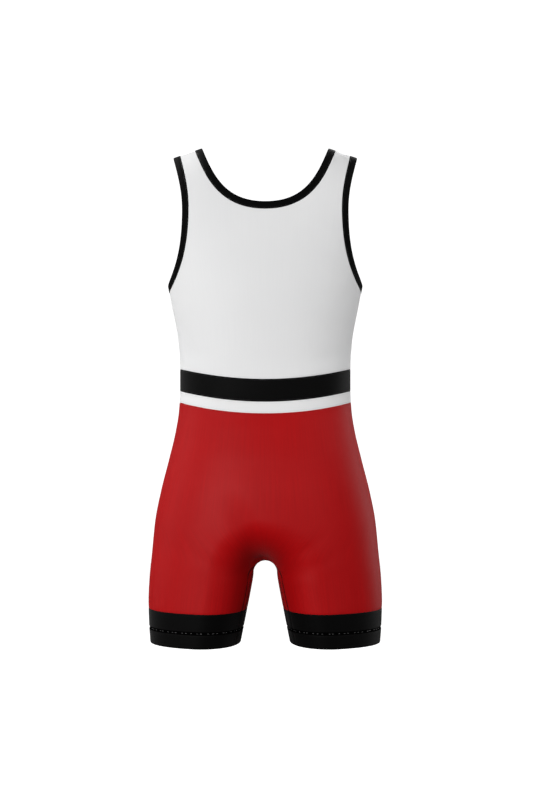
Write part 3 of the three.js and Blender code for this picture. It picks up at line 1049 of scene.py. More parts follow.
@dataclass(frozen=True)
class KnitFinish:
    """Interlock knit of polyester and elastane: columns of small loops with a soft satin sheen.

    The loops are 0.6 mm apart on the real cloth. They are drawn 1.3 mm apart here, as fine as a
    close view still shows. The shares say how far the colour is taken towards the deep tone by painted
    shade in the hollows between the loops and beside the dark seams, and by random mottle and streaks.
    The painted seam shade is the darkness painted into the bottom of a dark seam.
    """

    name: str
    colour: str
    deep_tone_and_shade: str
    roughness: float
    sheen: float
    painted_seam_shade: str
    streak_share: float
    specular: float
    wale_mm: float = 1.3
    course_mm: float = 1.1
    relief_mm: float = 0.06
    fuzz_mm: float = 0.03
    loop_shade_share: float = 0.16
    seam_shade_share: float = 0.5
    seam_shade_mm: float = 1.2
    mottle_share: float = 0.1
    painted_seam_shade_share: float = 0.9
    painted_seam_shade_mm: float = 0.3
    mottle_scale: float = 9.0
    yarn_scale: float = 1400.0
    streak_scale: tuple[float, float, float] = (0.45, 0.012, 0)
    refraction: float = 1.46

    def build(self) -> bpy.types.Material:
        """Makes the material."""
        material = new_material(self.name)
        tree = material.node_tree
        cloth = add_node(tree, "ShaderNodeAttribute", {"attribute_name": "cloth_mm"})
        place = cloth.outputs["Vector"]
        parts = add_node(tree, "ShaderNodeSeparateXYZ", in_0=place)
        loops = self._loops(tree, parts.outputs[0], parts.outputs[1])
        spot = add_node(tree, "ShaderNodeTexCoord").outputs["Object"]
        colour = self._colour(tree, place, parts.outputs[2], spot, loops)
        noise = {"Scale": self.yarn_scale, "Detail": 2.0}
        yarn = add_node(tree, "ShaderNodeTexNoise", noise, Vector=spot)
        ends = {1: 0.2, 2: 0.8, 3: self.roughness - 0.04, 4: self.roughness + 0.05}
        rough = add_node(tree, "ShaderNodeMapRange", ends, in_0=yarn)
        low = {"Strength": 0.25, "Distance": self.fuzz_mm * MM}
        fuzz = add_node(tree, "ShaderNodeBump", low, Height=yarn)
        high = {"Strength": 0.6, "Distance": self.relief_mm * MM}
        relief = add_node(tree, "ShaderNodeBump", high, Height=loops, Normal=fuzz)
        satin = {
            "IOR": self.refraction,
            "Specular IOR Level": self.specular,
            "Sheen Weight": self.sheen,
            "Sheen Roughness": 0.4,
        }
        surface = add_node(
            tree, "ShaderNodeBsdfPrincipled", satin, Base_Color=colour, Roughness=rough, Normal=relief
        )
        add_node(tree, "ShaderNodeOutputMaterial", Surface=surface)
        return material

    def _colour(
        self,
        tree: bpy.types.NodeTree,
        place: bpy.types.NodeSocket,
        from_seam: bpy.types.NodeSocket,
        spot: bpy.types.NodeSocket,
        loops: bpy.types.Node,
    ) -> bpy.types.Node:
        """Mixes the colour of the cloth, with painted shade between the loops and at the dark seams.

        Args:
            tree: the node tree.
            place: the place on the flat cloth.
            from_seam: the distance from a dark seam.
            spot: the place in space.
            loops: the height of the loops.

        Returns:
            The node that gives the colour.
        """
        between = {1: 0.3, 2: 0.7, 3: 0.0}
        fading = {"interpolation_type": "SMOOTHSTEP", 2: self.seam_shade_mm, 4: 0.0}
        noise = {"Scale": self.mottle_scale, "Detail": 3.0}
        mottle = add_node(tree, "ShaderNodeTexNoise", noise, Vector=spot)
        patch = add_node(tree, "ShaderNodeMapRange", between | {4: self.mottle_share}, in_0=mottle)
        stretch = {"operation": "MULTIPLY", 1: self.streak_scale}
        along = add_node(tree, "ShaderNodeVectorMath", stretch, in_0=place)
        streak = add_node(tree, "ShaderNodeTexNoise", {"Scale": 1.0, "Detail": 3.0}, Vector=along)
        drawn = add_node(tree, "ShaderNodeMapRange", between | {4: self.streak_share}, in_0=streak)
        uneven = add_node(tree, "ShaderNodeMath", {"operation": "ADD"}, in_0=patch, in_1=drawn)
        # Painted shade in the hollows between the loops.
        ends = {1: 0.0, 2: 1.0, 3: self.loop_shade_share, 4: 0.0}
        shade = add_node(tree, "ShaderNodeMapRange", ends, in_0=loops)
        # Painted shade beside the dark seams.
        seam = add_node(
            tree, "ShaderNodeMapRange", fading | {1: 0.0, 3: self.seam_shade_share}, in_0=from_seam
        )
        first = add_node(tree, "ShaderNodeMath", {"operation": "MAXIMUM"}, in_0=shade, in_1=seam)
        dark = add_node(tree, "ShaderNodeMath", {"operation": "ADD"}, in_0=first, in_1=uneven)
        dye_and_shade = {"Color1": srgb_hex_to_linear(self.colour), "Color2": srgb_hex_to_linear(self.deep_tone_and_shade)}
        knit = add_node(tree, "ShaderNodeMixRGB", dye_and_shade, Fac=dark)
        # A darker painted shade in the bottom of the dark seams.
        painted_seam_shade = add_node(
            tree, "ShaderNodeMapRange", fading | {1: self.painted_seam_shade_mm, 3: self.painted_seam_shade_share}, in_0=from_seam
        )
        bottom = {"Color2": srgb_hex_to_linear(self.painted_seam_shade)}
        return add_node(tree, "ShaderNodeMixRGB", bottom, Fac=painted_seam_shade, Color1=knit)

    def _loops(
        self, tree: bpy.types.NodeTree, across: bpy.types.NodeSocket, up: bpy.types.NodeSocket
    ) -> bpy.types.Node:
        """Draws the loops, with two slanting legs to each column.

        Args:
            tree: the node tree.
            across: the place across the columns in millimetres.
            up: the place along them.

        Returns:
            The node that gives their height, from 0 to 1.
        """
        half = {"operation": "PINGPONG", 1: 0.5}
        whole = {"operation": "MULTIPLY", 1: 2 * math.pi}
        column = add_node(tree, "ShaderNodeMath", {"operation": "DIVIDE", 1: self.wale_mm}, in_0=across)
        side = add_node(tree, "ShaderNodeMath", half, in_0=column)
        leg = add_node(tree, "ShaderNodeMath", whole, in_0=side)
        ridge = add_node(tree, "ShaderNodeMath", {"operation": "SINE"}, in_0=leg)
        row = add_node(tree, "ShaderNodeMath", {"operation": "DIVIDE", 1: self.course_mm}, in_0=up)
        slant = add_node(tree, "ShaderNodeMath", {"operation": "ADD"}, in_0=row, in_1=side)
        beat = add_node(tree, "ShaderNodeMath", half, in_0=slant)
        lift = add_node(tree, "ShaderNodeMapRange", {1: 0.0, 2: 0.5, 3: 0.35, 4: 1.0}, in_0=beat)
        return add_node(tree, "ShaderNodeMath", {"operation": "MULTIPLY"}, in_0=ridge, in_1=lift)


class Knit(Enum):
    """The finishes, each by its slot's name in the record."""

    WHITE = "white_knit"
    BLACK = "black_knit"
    RED = "red_knit"


@dataclass(frozen=True)
class ThreadFinish:
    """Spun polyester sewing thread, twisted, with a dull shine."""

    name: str
    colour: str
    knit: Knit
    roughness: float = 0.5
    twist_scale: float = 900.0
    hollow_shade_share: float = 0.6
    hollow_mm: float = 0.05

    def build(self) -> bpy.types.Material:
        """Makes the material."""
        material = new_material(self.name)
        tree = material.node_tree
        spot = add_node(tree, "ShaderNodeTexCoord").outputs["Object"]
        turns = {"Scale": self.twist_scale, "Distortion": 1.5, "bands_direction": "DIAGONAL"}
        twist = add_node(tree, "ShaderNodeTexWave", turns, Vector=spot).outputs["Fac"]
        base = srgb_hex_to_linear(self.colour)
        # The colour is dimmed in the hollows of the twist as painted shade.
        dim = tuple(c * self.hollow_shade_share for c in base[:3]) + (1.0,)
        colour = add_node(tree, "ShaderNodeMixRGB", {"Color1": dim, "Color2": base}, Fac=twist)
        depth = {"Strength": 0.3, "Distance": self.hollow_mm * MM}
        bump = add_node(tree, "ShaderNodeBump", depth, Height=twist)
        dull = {"Roughness": self.roughness, "IOR": 1.5}
        surface = add_node(tree, "ShaderNodeBsdfPrincipled", dull, Base_Color=colour, Normal=bump)
        add_node(tree, "ShaderNodeOutputMaterial", Surface=surface)
        return material


# Bleached white keeps a trace of cool grey, black is dyed through and dull, and the red is deep
# with a pale sheen where it turns away. Each deep tone serves both random mottle and painted shade,
# and the darkest colour of each is the painted seam shade.
KNITS = {
    Knit.WHITE: KnitFinish(
        "white_interlock_knit", "#e3e3e3", "#c4c5c8", 0.62, 0.04, "#77787b", 0.05, 0.25
    ),
    Knit.BLACK: KnitFinish(
        "black_interlock_knit", "#020202", "#010101", 0.58, 0.11, "#000000", 0.1, 0.055
    ),
    Knit.RED: KnitFinish("red_interlock_knit", "#ac0408", "#7c0204", 0.55, 0.02, "#1c0001", 0.22, 0.16),
}
# The hem's groove is painted with shade: a near-black, matt copy of the black knit with almost no shine,
# which reads as a plain dark line.
# Folded and pulled tight over the edges it is smooth and matt, without the sheen of the bands.
GROOVE_SHADE = KnitFinish("black_knit_painted_groove_shade", "#010101", "#000000", 0.8, 0.0, "#000000", 0.0, 0.01)
BINDING = KnitFinish("black_knit_binding", "#060606", "#020202", 0.7, 0.0, "#000000", 0.1, 0.04)
# The thread matches its cloth, but for the grey one that shows in the hem's dark groove.
WHITE_THREAD = ThreadFinish("white_polyester_thread", "#d8d8da", Knit.WHITE)
BLACK_THREAD = ThreadFinish("black_polyester_thread", "#070708", Knit.BLACK)
GREY_THREAD = ThreadFinish("grey_polyester_thread", "#707070", Knit.BLACK)
RED_THREAD = ThreadFinish("red_polyester_thread", "#8e0508", Knit.RED)
THREADS = (WHITE_THREAD, BLACK_THREAD, GREY_THREAD, RED_THREAD)


@dataclass(frozen=True)
class FlatCut:
    """The size of a piece as cut flat, in metres and square metres."""

    width: float
    length: float
    area: float


# The row of a binding's section that lies on the fold.
FOLD_ROW = 11
# The leg bands: half the groove's width, how far out its thread lies, and how deep and how wide the
# inseam sinks in.
GROOVE_HALF = 2.6
GROOVE_THREAD_LEVEL = 0.38
BAND_SEAM_SUNK = 0.35
BAND_SEAM_WIDTH = 1.1
# The back of the shorts has extra columns where the inseam's allowance is sewn down, as shares of
# the way round to the inseam.
ALLOWANCE_COLUMNS = np.linspace(0.86, 0.995, 26)


class Singlet:
    """The garment: builds each sewn piece and dresses it."""

    def __init__(self) -> None:
        """Settles the form, the cut and the materials."""
        self.form = GarmentForm()
        self.cut = Cut(self.form)
        self.shell = ClothShell(self.form, self.cut.cloth)
        finishes = (*KNITS.values(), GROOVE_SHADE, BINDING, *THREADS)
        self.materials = {finish: finish.build() for finish in finishes}
        # A quarter of the way round the garment and half the way round a leg, on the flat cloth.
        self.panel_width = 230.0
        self.band_width = 235.0
        # How far the rows of stitches lie from their seam.
        self.seam_margin = 2.2

    def build(self) -> None:
        """Builds every piece in order."""
        for face in Face:
            self.upper_panel(face)
            self.waist_band(face)
            self.shorts(face)
        for hand in Hand:
            self.leg_band(hand)
            self.arm_binding(hand)
        self.neck_binding()
        self.waist_stitching()
        self.side_stitching()
        self.inseam_stitching()
        self.shoulder_stitching()

    def dress(
        self,
        piece: bpy.types.Object,
        knit: Knit,
        node: str,
        finish: KnitFinish | None = None,
    ) -> None:
        """Gives a cloth piece its finish and its body, hides the CAD node that it replaces and logs its
        area.

        Args:
            piece: the cloth.
            knit: the slot's finish.
            node: the CAD node that the piece replaces.
            finish: another finish for the same slot.
        """
        piece.data.materials.append(self.materials[finish or KNITS[knit]])
        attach(piece, BODY)
        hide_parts(node)
        area = sum(face.area for face in piece.data.polygons) / 2
        LOG.info("%s: %d faces, %.4f m2", piece.name, len(piece.data.polygons), area)

    def dress_thread(self, piece: bpy.types.Object, thread: ThreadFinish) -> None:
        """Gives a piece of stitching its finish and its body.

        Args:
            piece: the stitches.
            thread: their finish.
        """
        piece.data.materials.append(self.materials[thread])
        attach(piece, BODY)
        LOG.info("%s: %d faces", piece.name, len(piece.data.polygons))

    def sew(
        self,
        node: str,
        half: Net,
        knit: Knit,
        seams: Sequence[np.ndarray],
        dark: Sequence[np.ndarray] = (),
        inseams: Sequence[np.ndarray] = (),
    ) -> None:
        """Makes and dresses the cloth of a net and its mirror image.

        Args:
            node: the CAD node that the piece replaces.
            half: the net of the right half.
            knit: the slot's finish.
            seams: the right half's lines that the cloth sinks in to.
            dark: the seams between pieces of one colour, painted with shade.
            inseams: the seams down the inner leg, painted with shade.
        """
        piece = self.shell.build(f"{node}_cloth", half, seams, dark, inseams)
        self.dress(piece, knit, node)

    def upper_panel(self, face: Face) -> None:
        """Builds the white back or front panel of the upper.

        Args:
            face: the face of the garment.
        """
        form, cut = self.form, self.cut
        row_count, column_count, panel_length, arc_for_chord = 84, 46, 480, 1.15
        inset = cut.binding + cut.seam_gap / 2
        side_share = 0.23
        neck_share = 0.5 if face is Face.BACK else 0.42
        foot = cut.waist_top + cut.setback
        rows = close_ends(row_count, panel_length)
        arm_steps = np.clip((rows - side_share) / (1 - side_share), 0, 1)
        neck_steps = np.clip((rows - neck_share) / (1 - neck_share), 0, 1)
        arm = cut.moved_in(cut.arm_edge(face, arm_steps), inset)
        neck = cut.moved_in(cut.neck_edge(face, neck_steps), inset)
        up_side = np.clip(rows / side_share, 0, 1)
        side_z = foot + (arm[0, 2] - foot) * up_side
        side = np.stack([form.half_width(side_z), np.zeros_like(side_z), side_z], axis=1)
        outer = np.where((rows < side_share)[:, None], side, arm)
        centre_foot = foot - cut.dips[face]
        centre_z = centre_foot + (neck[0, 2] - centre_foot) * np.clip(rows / neck_share, 0, 1)
        centre = form.on_form(np.zeros_like(centre_z), centre_z, face)
        inner = np.where((rows < neck_share)[:, None], centre, neck)
        start = np.arcsin(np.clip(inner[:, 0] / form.half_width(inner[:, 2]), 0, 1))
        end = np.arcsin(np.clip(outer[:, 0] / form.half_width(outer[:, 2]), 0, 1))
        lengths = np.linalg.norm(outer - inner, axis=1) * arc_for_chord
        share = np.stack([close_ends(column_count, length) for length in lengths])
        level = np.cos(share * math.pi / 2) ** 2
        rise = (inner[:, 2] - outer[:, 2])[:, None]
        turn = start[:, None] + (end - start)[:, None] * share
        x = form.half_width(outer[:, 2][:, None] + rise * level) * np.sin(turn)
        span = np.maximum(outer[:, 0] - inner[:, 0], TINY)[:, None]
        crestward = smoothstep(rows, neck_share, 1)[:, None]
        level = level + ((outer[:, 0][:, None] - x) / span - level) * crestward
        points = form.on_form(x, outer[:, 2][:, None] + rise * level, face)
        points[:, 0], points[:, -1] = inner, outer
        points[rows < neck_share, 0, 0] = 0
        flat = np.stack([turn / (math.pi / 2) * self.panel_width, points[..., 2]], axis=-1)
        # The seams at the side are painted with shade as dark lines.
        at_side = [points[-1], points[rows <= side_share, -1]]
        node = f"{face.name.lower()}_panel"
        self.sew(
            node,
            Net(points, flat),
            Knit.WHITE,
            seams=[points[0], *at_side],
            dark=at_side,
        )

    def waist_band(self, face: Face) -> None:
        """Builds the black waist band and the white stripe below it on one face.

        Args:
            face: the face of the garment.
        """
        cut = self.cut
        row_height, column_count, half_girth = 3, 52, 210
        low = cut.waist_top - cut.band_height
        bands = (
            ("waist_band", Knit.BLACK, cut.waist_top, low),
            ("waist_stripe", Knit.WHITE, low, low - cut.stripe_height),
        )
        turns = close_ends(column_count, half_girth, both=False)[::-1]
        share = (1 - turns)[None, :] * (math.pi / 2)
        for kind, knit, top, bottom in bands:
            height = top - bottom
            steps = close_ends(round(height / row_height), height)
            levels = (top - cut.setback - (height - 2 * cut.setback) * steps)[:, None]
            z = levels - cut.dips[face] * np.cos(share) ** 2
            x = self.form.half_width(z) * np.sin(share)
            points = self.form.on_form(x, z, face)
            points[:, 0, 0] = 0
            points[:, -1, 1] = 0
            across = np.broadcast_to(share / (math.pi / 2) * self.panel_width, z.shape)
            net = Net(points, np.stack([across, z], axis=-1))
            seams = [points[0], points[-1], points[:, -1]]
            self.sew(f"{kind}_{face.name.lower()}", net, knit, seams)

    def shorts(self, face: Face) -> None:
        """Builds the red back or front of the shorts, from the waist to the leg bands.

        Args:
            face: the face of the garment.
        """
        form, cut = self.form, self.cut
        hip_rows, under_rows, arch_rows, leg_rows, columns, half_girth = 44, 30, 16, 18, 54, 240
        top = cut.waist_top - cut.band_height - cut.stripe_height - cut.setback
        bend = form.arch_apex + form.arch_reach
        hips = top + (bend - top) * close_ends(hip_rows, top - bend, both=False)
        rise = np.linspace(math.pi / 2, 0, under_rows + 1)[1:]
        under = form.arch_apex + form.arch_reach * (1 - np.cos(rise))
        fall = np.linspace(0, math.pi / 2, arch_rows + 1)[1:]
        arch = form.arch_centre + form.arch_radius * np.cos(fall)
        leg_end = cut.cuff_top + cut.setback
        length = form.arch_centre - leg_end
        leg_steps = 1 - close_ends(leg_rows, length, both=False)[::-1]
        legs = form.arch_centre - length * leg_steps[1:]
        levels = np.concatenate([hips, under, arch, legs])
        on_leg = levels < form.arch_apex - TINY
        dip = cut.dips[face] * smoothstep(levels, bend, levels[0])
        rounding = (1 - smoothstep(levels, form.arch_apex, bend))[:, None]
        leg_turn = form.turn_at_depth(levels, cut.inseam_depth(levels) + face.value * cut.setback, face)
        end = np.where(on_leg, leg_turn, 1.0)
        across = close_ends(columns, half_girth)
        inseams = []
        if face is Face.BACK:
            across = np.unique(np.concatenate([across, ALLOWANCE_COLUMNS]))
            sewn_from = form.arch_apex - 8
            inseams.append(cut.allowance_line(np.linspace(sewn_from, leg_end, 60)))
        turn = end[:, None] * across[None, :]
        z = levels[:, None] - dip[:, None] * np.sin(turn * math.pi / 2) ** 2
        points = form.round_shorts(z, turn, face, rounding)
        points[:, 0, 1] = 0
        points[~on_leg, -1, 0] = 0
        inseams.append(points[levels <= form.arch_apex + TINY, -1])
        flat = np.stack([(1 - turn) * self.panel_width, z], axis=-1)
        # The side seam and the inseams are painted with shade as dark lines.
        self.sew(
            f"shorts_{face.name.lower()}",
            Net(points, flat),
            Knit.RED,
            seams=[points[0], points[-1], points[:, 0]],
            dark=[points[:, 0]],
            inseams=inseams,
        )

    def stitch(self, name: str, lines: Sequence[np.ndarray], thread: ThreadFinish) -> None:
        """Sews rows of fine stitches that lie on the cloth beside a seam.

        Args:
            name: the piece's name.
            lines: rows of points on the form, this thread's stitches in each.
            thread: the thread's finish.
        """
        above_cloth = 0.08
        rows = []
        for line in lines:
            out = self.form.outward(line)
            lift = self.shell.lift(line, np.full(len(line), self.seam_margin))
            rows.append((line + out * (self.cut.cloth + above_cloth + lift)[:, None], out))
        self.dress_thread(Thread(length=2.4, gap=0.7, radius=0.2).build(name, rows), thread)

    def waist_stitching(self) -> None:
        """Sews a row beside each crosswise seam of the waist, once round the garment."""
        cut, margin = self.cut, self.seam_margin
        low = cut.waist_top - cut.band_height
        foot = low - cut.stripe_height
        rows = {
            WHITE_THREAD: (cut.waist_top + margin, low - margin, foot + margin),
            BLACK_THREAD: (cut.waist_top - margin, low + margin),
            RED_THREAD: (foot - margin,),
        }
        for thread, levels in rows.items():
            name = f"waist_stitching_{thread.knit.name.lower()}"
            self.stitch(name, [self._waist_line(level) for level in levels], thread)

    def _waist_line(self, level: float) -> np.ndarray:
        """Draws one crosswise line of the waist.

        Args:
            level: its height at the sides.

        Returns:
            The line's points once round the garment.
        """
        share = np.linspace(-math.pi / 2, math.pi / 2, 161)
        lines = []
        for face, order in ((Face.BACK, 1), (Face.FRONT, -1)):
            z = level - self.cut.dips[face] * np.cos(share) ** 2
            line = self.form.on_form(self.form.half_width(z) * np.sin(share), z, face)
            lines.append(line[::order])
        return np.concatenate([lines[0], lines[1][1:]])

    def _beside(self, x: np.ndarray, z: np.ndarray) -> list[np.ndarray]:
        """Draws the rows of stitches beside a seam that lies at no depth.

        Args:
            x: the seam's places across on the right side.
            z: its heights.

        Returns:
            The rows behind and in front of it on both sides of the garment.
        """
        rows = []
        for hand in Hand:
            for face in Face:
                depth = np.full_like(x, face.value * self.seam_margin)
                rows.append(self.form.settled(np.stack([hand.value * x, depth, z], axis=1)))
        return rows

    def side_stitching(self) -> None:
        """Sews the rows beside the side seams of the panels and of the shorts."""
        cut, clear = self.cut, 3
        foot = cut.waist_top - cut.band_height - cut.stripe_height
        under = cut.arms[Face.BACK].underarm - cut.binding
        stretches = (
            ("panel_side_stitching", under - clear, cut.waist_top + clear, WHITE_THREAD),
            ("shorts_side_stitching", foot - clear, cut.cuff_top + clear, RED_THREAD),
        )
        for name, top, bottom, thread in stretches:
            z = np.linspace(top, bottom, 120)
            self.stitch(name, self._beside(self.form.half_width(z), z), thread)

    def inseam_stitching(self) -> None:
        """Sews the rows beside the inseams, which meet at the crotch."""
        form, cut = self.form, self.cut
        z = np.linspace(form.arch_apex - 6, cut.cuff_top + 3, 70)
        rows = []
        for hand in Hand:
            for face in Face:
                depth = cut.inseam_depth(z) + face.value * self.seam_margin
                line = form.round_leg(z, form.turn_at_depth(z, depth, Face.BACK))
                rows.append(line * (hand.value, 1, 1))
        self.stitch("inseam_stitching", rows, RED_THREAD)

    def shoulder_stitching(self) -> None:
        """Sews the rows beside the two shoulder seams."""
        cut = self.cut
        taken = cut.binding + 1.5
        x = np.linspace(cut.necks[Face.BACK].corner + taken, cut.arms[Face.BACK].corner - taken, 24)
        self.stitch("shoulder_stitching", self._beside(x, self.form.crest(x)), WHITE_THREAD)

    def _band_section(self, top: float, groove: float, fold: float) -> tuple[list, list]:
        """Draws a leg band's section.

        Args:
            top: the height of its top seam.
            groove: the height of the middle of its stitched groove.
            fold: the height at which the turned-up end stops.

        Returns:
            The outside from the top down and the inside from the hem up. Each row is a height and
            how far it lies out from the form.
        """
        hem, out, doubled, turned = self.cut.hem, self.cut.cloth, self.cut.cloth + 0.15, -0.95
        outside = [
            (top, out - 0.3),
            (top - 0.5, out - 0.24),
            (top - 1.1, out - 0.12),
            (top - 2.2, out),
            *[(z, out) for z in np.linspace(top - 5.2, groove + 3.2, 8)],
            (groove + GROOVE_HALF, out),
            (groove + 2.2, out - 0.35),
            (groove + 1.7, out - 0.8),
            (groove, out - 0.9),
            (groove - 1.7, out - 0.8),
            (groove - 2.2, out - 0.3),
            (groove - GROOVE_HALF, doubled),
            *[(z, doubled) for z in np.linspace(fold - 3, hem + 2, 7)],
            (hem + 1.0, doubled - 0.1),
            (hem + 0.35, doubled - 0.45),
            (hem, 0.35),
        ]
        inside = [
            (hem + 0.1, -0.45),
            (hem + 0.7, -0.85),
            (hem + 1.6, turned),
            *[(z, turned) for z in np.linspace(hem + 4.6, hem + 21.6, 6)],
            (fold, -0.7),
            (fold + 0.3, -0.05),
            (fold + 1.2, 0.0),
            (top - 1, 0.0),
            (top, 0.05),
        ]
        return outside, inside

    def leg_band(self, hand: Hand) -> None:
        """Builds a black leg band, turned up inside, with its stitched groove.

        Args:
            hand: the side of the wearer.
        """
        form, cut = self.form, self.cut
        turn_count, level_count, leg_length = 200, 90, 240
        fold = cut.hem + cut.turn_up
        groove = fold + cut.groove_rise
        top = cut.cuff_top - cut.setback
        outside, inside = self._band_section(top, groove, fold)
        heights, out = np.array(outside + inside).T
        depths = np.array([-cut.inseam_setback, -cut.allowance_setback])
        seam_turns = form.turn_at_depth(np.full(2, groove), depths, Face.BACK)
        near = np.array(NEAR_SEAM) / leg_length
        around = [np.linspace(0, 2, turn_count + 1)[:-1]]
        for seam_turn in seam_turns:
            around += [seam_turn - near, [seam_turn], seam_turn + near]
        levels = np.linspace(top, cut.hem, level_count)
        seams = SeamLines([form.round_leg(levels, seam_turn) for seam_turn in seam_turns])
        rings, cloth = [], []
        for turn in np.unique(np.round(np.concatenate(around), 6)):
            skin = form.round_leg(heights, turn)
            away = seams.distance(skin) / INSEAM_SPREAD
            sunk = BAND_SEAM_SUNK * np.exp(-((away / BAND_SEAM_WIDTH) ** 2)) * (out > 0.2)
            normals = form.outward(skin)
            normals[:, 2] = 0
            rings.append(skin + unit(normals) * (out - sunk)[:, None])
            # The third column is the distance that the material's painted seam shade reads.
            cloth.append(np.column_stack([np.full_like(out, (1 - turn) * self.band_width), heights, away]))
        mirror = np.array([hand.value, 1, 1])
        node = f"leg_band_{hand.name.lower()}"
        piece = ring_mesh(f"{node}_cloth", np.array(rings) * mirror, np.array(cloth))
        self.dress(piece, Knit.BLACK, node)
        # The faces of the groove get the painted groove shade.
        piece.data.materials.append(self.materials[GROOVE_SHADE])
        for polygon in piece.data.polygons:
            on_outside = polygon.index % len(out) < len(outside)
            if on_outside and abs(polygon.center.z / MM - groove) < GROOVE_HALF:
                polygon.material_index = 1
        even = np.linspace(0, 2, 241)
        at = form.round_leg(groove, even)
        normals = unit(form.outward(at) * (1, 1, 0))
        thread = Thread(length=3.2, gap=5.4, radius=0.28, uneven=1.7)
        line = (at + normals * GROOVE_THREAD_LEVEL) * mirror
        self.dress_thread(thread.build(f"{node}_stitching", [(line, normals * mirror)]), GREY_THREAD)

    def _binding(self, name: str, edges: Sequence[Edge], mirrors: Sequence[int]) -> None:
        """Builds a folded binding and its two rows of stitches along a closed edge.

        Args:
            name: the node's name.
            edges: the stretches of edge in order round the ring.
            mirrors: for each stretch 1, or -1 where it is on the wearer's left.
        """
        cut = self.cut
        high, low = cut.cloth + 0.5, -0.5
        width = cut.binding
        # Each row is how far in from the edge it lies and how far out from the form.
        section = [
            (width, cut.cloth + 0.02),
            (width - 0.25, high - 0.12),
            (width - 0.9, high),
            (width - 1.6, high),
            (width - 2.0, high - 0.22),
            (width - 2.4, high),
            (6.4, high + 0.06),
            (4.4, high + 0.04),
            (1.5, high),
            (0.6, high - 0.2),
            (0.12, high - 0.7),
            (0.0, 0.6),
            (0.12, 0.0),
            (0.6, low + 0.2),
            (1.5, low),
            (6.0, low),
            (width - 0.9, low),
            (width, -0.05),
        ]
        stitch_at = width - 2.0
        flips = [np.array([mirror, 1, 1]) for mirror in mirrors]

        def ring_at(distance: float, level: float) -> tuple[np.ndarray, np.ndarray]:
            """The points round the ring this far in and this far out, and the way out there."""
            skins = [cut.moved_in(edge, distance) for edge in edges]
            ways = [self.form.outward(skin) for skin in skins]
            points = [(skin + way * level) * flip for skin, way, flip in zip(skins, ways, flips)]
            return np.concatenate(points), np.concatenate([way * flip for way, flip in zip(ways, flips)])

        rings = np.stack([ring_at(distance, level)[0] for distance, level in section], axis=1)
        fold = rings[:, FOLD_ROW]
        at = lengths_along(np.concatenate([fold, fold[:1]]))
        cloth = np.empty(rings.shape)
        cloth[..., 0] = [distance for distance, _ in section]
        cloth[..., 1] = at[:-1, None]
        cloth[..., 2] = FAR
        piece = ring_mesh(f"{name}_cloth", rings, cloth)
        self.dress(piece, Knit.BLACK, name, BINDING)
        line, out = ring_at(stitch_at, high - 0.1)
        closed = (np.concatenate([line, line[:1]]), np.concatenate([out, out[:1]]))
        thread = Thread(length=2.6, gap=0.8, radius=0.22)
        self.dress_thread(thread.build(f"{name}_stitching", [closed]), BLACK_THREAD)
        LOG.info("%s: edge %.0f mm", name, at[-1])

    def arm_binding(self, hand: Hand) -> None:
        """Builds the binding of one armhole: up its back and down its front.

        Args:
            hand: the side of the wearer.
        """
        steps = np.linspace(0, 1, 91)
        back = self.cut.arm_edge(Face.BACK, steps)
        front = self.cut.arm_edge(Face.FRONT, steps)
        down = Edge(front.points[1:-1][::-1], front.into[1:-1][::-1])
        name = f"arm_binding_{hand.name.lower()}"
        self._binding(name, [back, down], [hand.value] * 2)

    def neck_binding(self) -> None:
        """Builds the binding of the neck: once round from the centre of the back."""
        steps = np.linspace(0, 1, 81)
        back = self.cut.neck_edge(Face.BACK, steps)
        front = self.cut.neck_edge(Face.FRONT, steps)
        down = Edge(front.points[:-1][::-1], front.into[:-1][::-1])
        up = Edge(front.points[1:], front.into[1:])
        home = Edge(back.points[1:-1][::-1], back.into[1:-1][::-1])
        ring = [back, down, up, home]
        self._binding("neck_binding", ring, [1, 1, -1, -1])


@dataclass(frozen=True)
class SoftLight:
    """A soft box of the studio, turned to the middle of the garment.

    Azimuth 0 is the side that the camera stands on, and azimuths above 0 are to the camera's right.
    """

    name: str
    azimuth: float
    elevation: float
    power: float
    distance: float = 3.0
    width: float = 1.2
    height: float = 1.6

    def build(self, target: Vector) -> None:
        """Makes the light.

        Args:
            target: the point that it looks at.
        """
        data = bpy.data.lights.new(self.name, "AREA")
        data.shape = "RECTANGLE"
        data.size, data.size_y = self.width, self.height
        data.energy = self.power
        turn, rise = math.radians(self.azimuth), math.radians(self.elevation)
        away = Vector((math.sin(turn) * math.cos(rise), -math.cos(turn) * math.cos(rise), math.sin(rise)))
        light = add_object(self.name, data)
        light.location = target + away * self.distance
        light.rotation_euler = (-away).to_track_quat("-Z", "Y").to_euler()


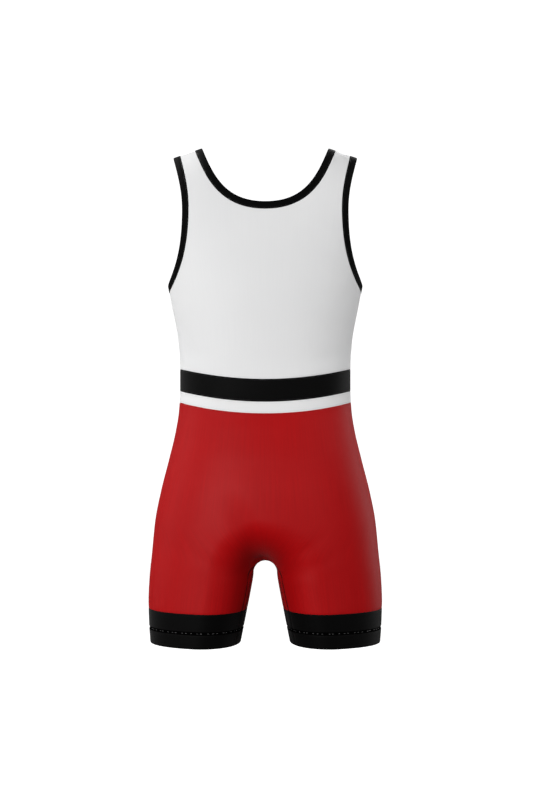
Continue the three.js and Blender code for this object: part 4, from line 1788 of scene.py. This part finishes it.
@dataclass(frozen=True)
class Studio:
    """The camera, the lights and the pale surroundings, in metres."""

    camera_side: float = 0.00194
    camera_back: float = -2.268
    camera_height: float = -0.397
    lens: float = 63.0
    sensor: float = 36.0
    floor_height: float = -1.45
    floor_size: float = 14.0
    ambient: float = 0.03
    lights: tuple[SoftLight, ...] = (
        SoftLight("key_left", -30, 0, 75),
        SoftLight("side_left", -90, 0, 18),
        SoftLight("top_left", -120, 45, 70),
        SoftLight("fill_right", 30, 0, 24),
        SoftLight("top_right", 85, 45, 40),
        SoftLight("rim_right", 120, 0, 20),
        SoftLight("front", 170, 38, 46),
    )

    def build(self) -> None:
        """Makes the camera, the lights, the floor and the backdrop."""
        middle = Vector((0, 0, self.camera_height))
        self._camera()
        for light in self.lights:
            light.build(middle)
        world = bpy.data.worlds.new("studio_air")
        world.use_nodes = True
        air = world.node_tree.nodes["Background"].inputs
        air["Color"].default_value = (1, 1, 1, 1)
        air["Strength"].default_value = self.ambient
        bpy.context.scene.world = world
        bpy.context.scene.view_settings.view_transform = "Standard"
        self._floor()
        self._backdrop()

    def _camera(self) -> None:
        """Makes the camera level behind the garment, as the photograph was taken."""
        data = bpy.data.cameras.new("camera")
        data.lens = self.lens
        data.sensor_width = self.sensor
        camera = add_object("camera", data)
        camera.location = (self.camera_side, self.camera_back, self.camera_height)
        camera.rotation_euler = (math.pi / 2, 0, 0)
        bpy.context.scene.camera = camera

    def _plain(self, name: str, colour: str, glow: float) -> bpy.types.Material:
        """Makes a matte surface that glows a little, so that it stays pale.

        Args:
            name: the material's name.
            colour: its colour in hex.
            glow: how strongly it glows.

        Returns:
            The new material.
        """
        material = new_material(name)
        matt = {
            "Base Color": srgb_hex_to_linear(colour),
            "Roughness": 0.9,
            "Emission Color": (1, 1, 1, 1),
            "Emission Strength": glow,
        }
        surface = add_node(material.node_tree, "ShaderNodeBsdfPrincipled", matt)
        add_node(material.node_tree, "ShaderNodeOutputMaterial", Surface=surface)
        return material

    def _floor(self) -> None:
        """Makes the pale floor that the wearer would stand on."""
        half = self.floor_size / 2
        mesh = bpy.data.meshes.new("floor")
        corners = [(-half, -half, 0), (half, -half, 0), (half, half, 0), (-half, half, 0)]
        mesh.from_pydata(corners, [], [(0, 1, 2, 3)])
        mesh.materials.append(self._plain("pale_floor_paint", "#f2f2f2", 1.0))
        floor = add_object("floor", mesh)
        floor.location = (0, 0, self.floor_height)
        floor.visible_diffuse = False
        floor.visible_glossy = False

    def _backdrop(self) -> None:
        """Makes the white surroundings, which are seen but give the cloth no light."""
        bpy.ops.mesh.primitive_uv_sphere_add(segments=48, ring_count=24, radius=self.floor_size / 2)
        backdrop = bpy.context.object
        backdrop.name = "backdrop"
        backdrop.data.materials.append(self._plain("white_backdrop_paper", "#ffffff", 1.0))
        backdrop.visible_diffuse = False
        backdrop.visible_glossy = False
        backdrop.visible_transmission = False
        backdrop.visible_shadow = False


def main() -> None:
    """Loads the frame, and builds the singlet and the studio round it."""
    logging.basicConfig(level=logging.INFO, format="%(name)s: %(message)s")
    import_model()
    Singlet().build()
    Studio().build()


if __name__ == "__main__":
    main()
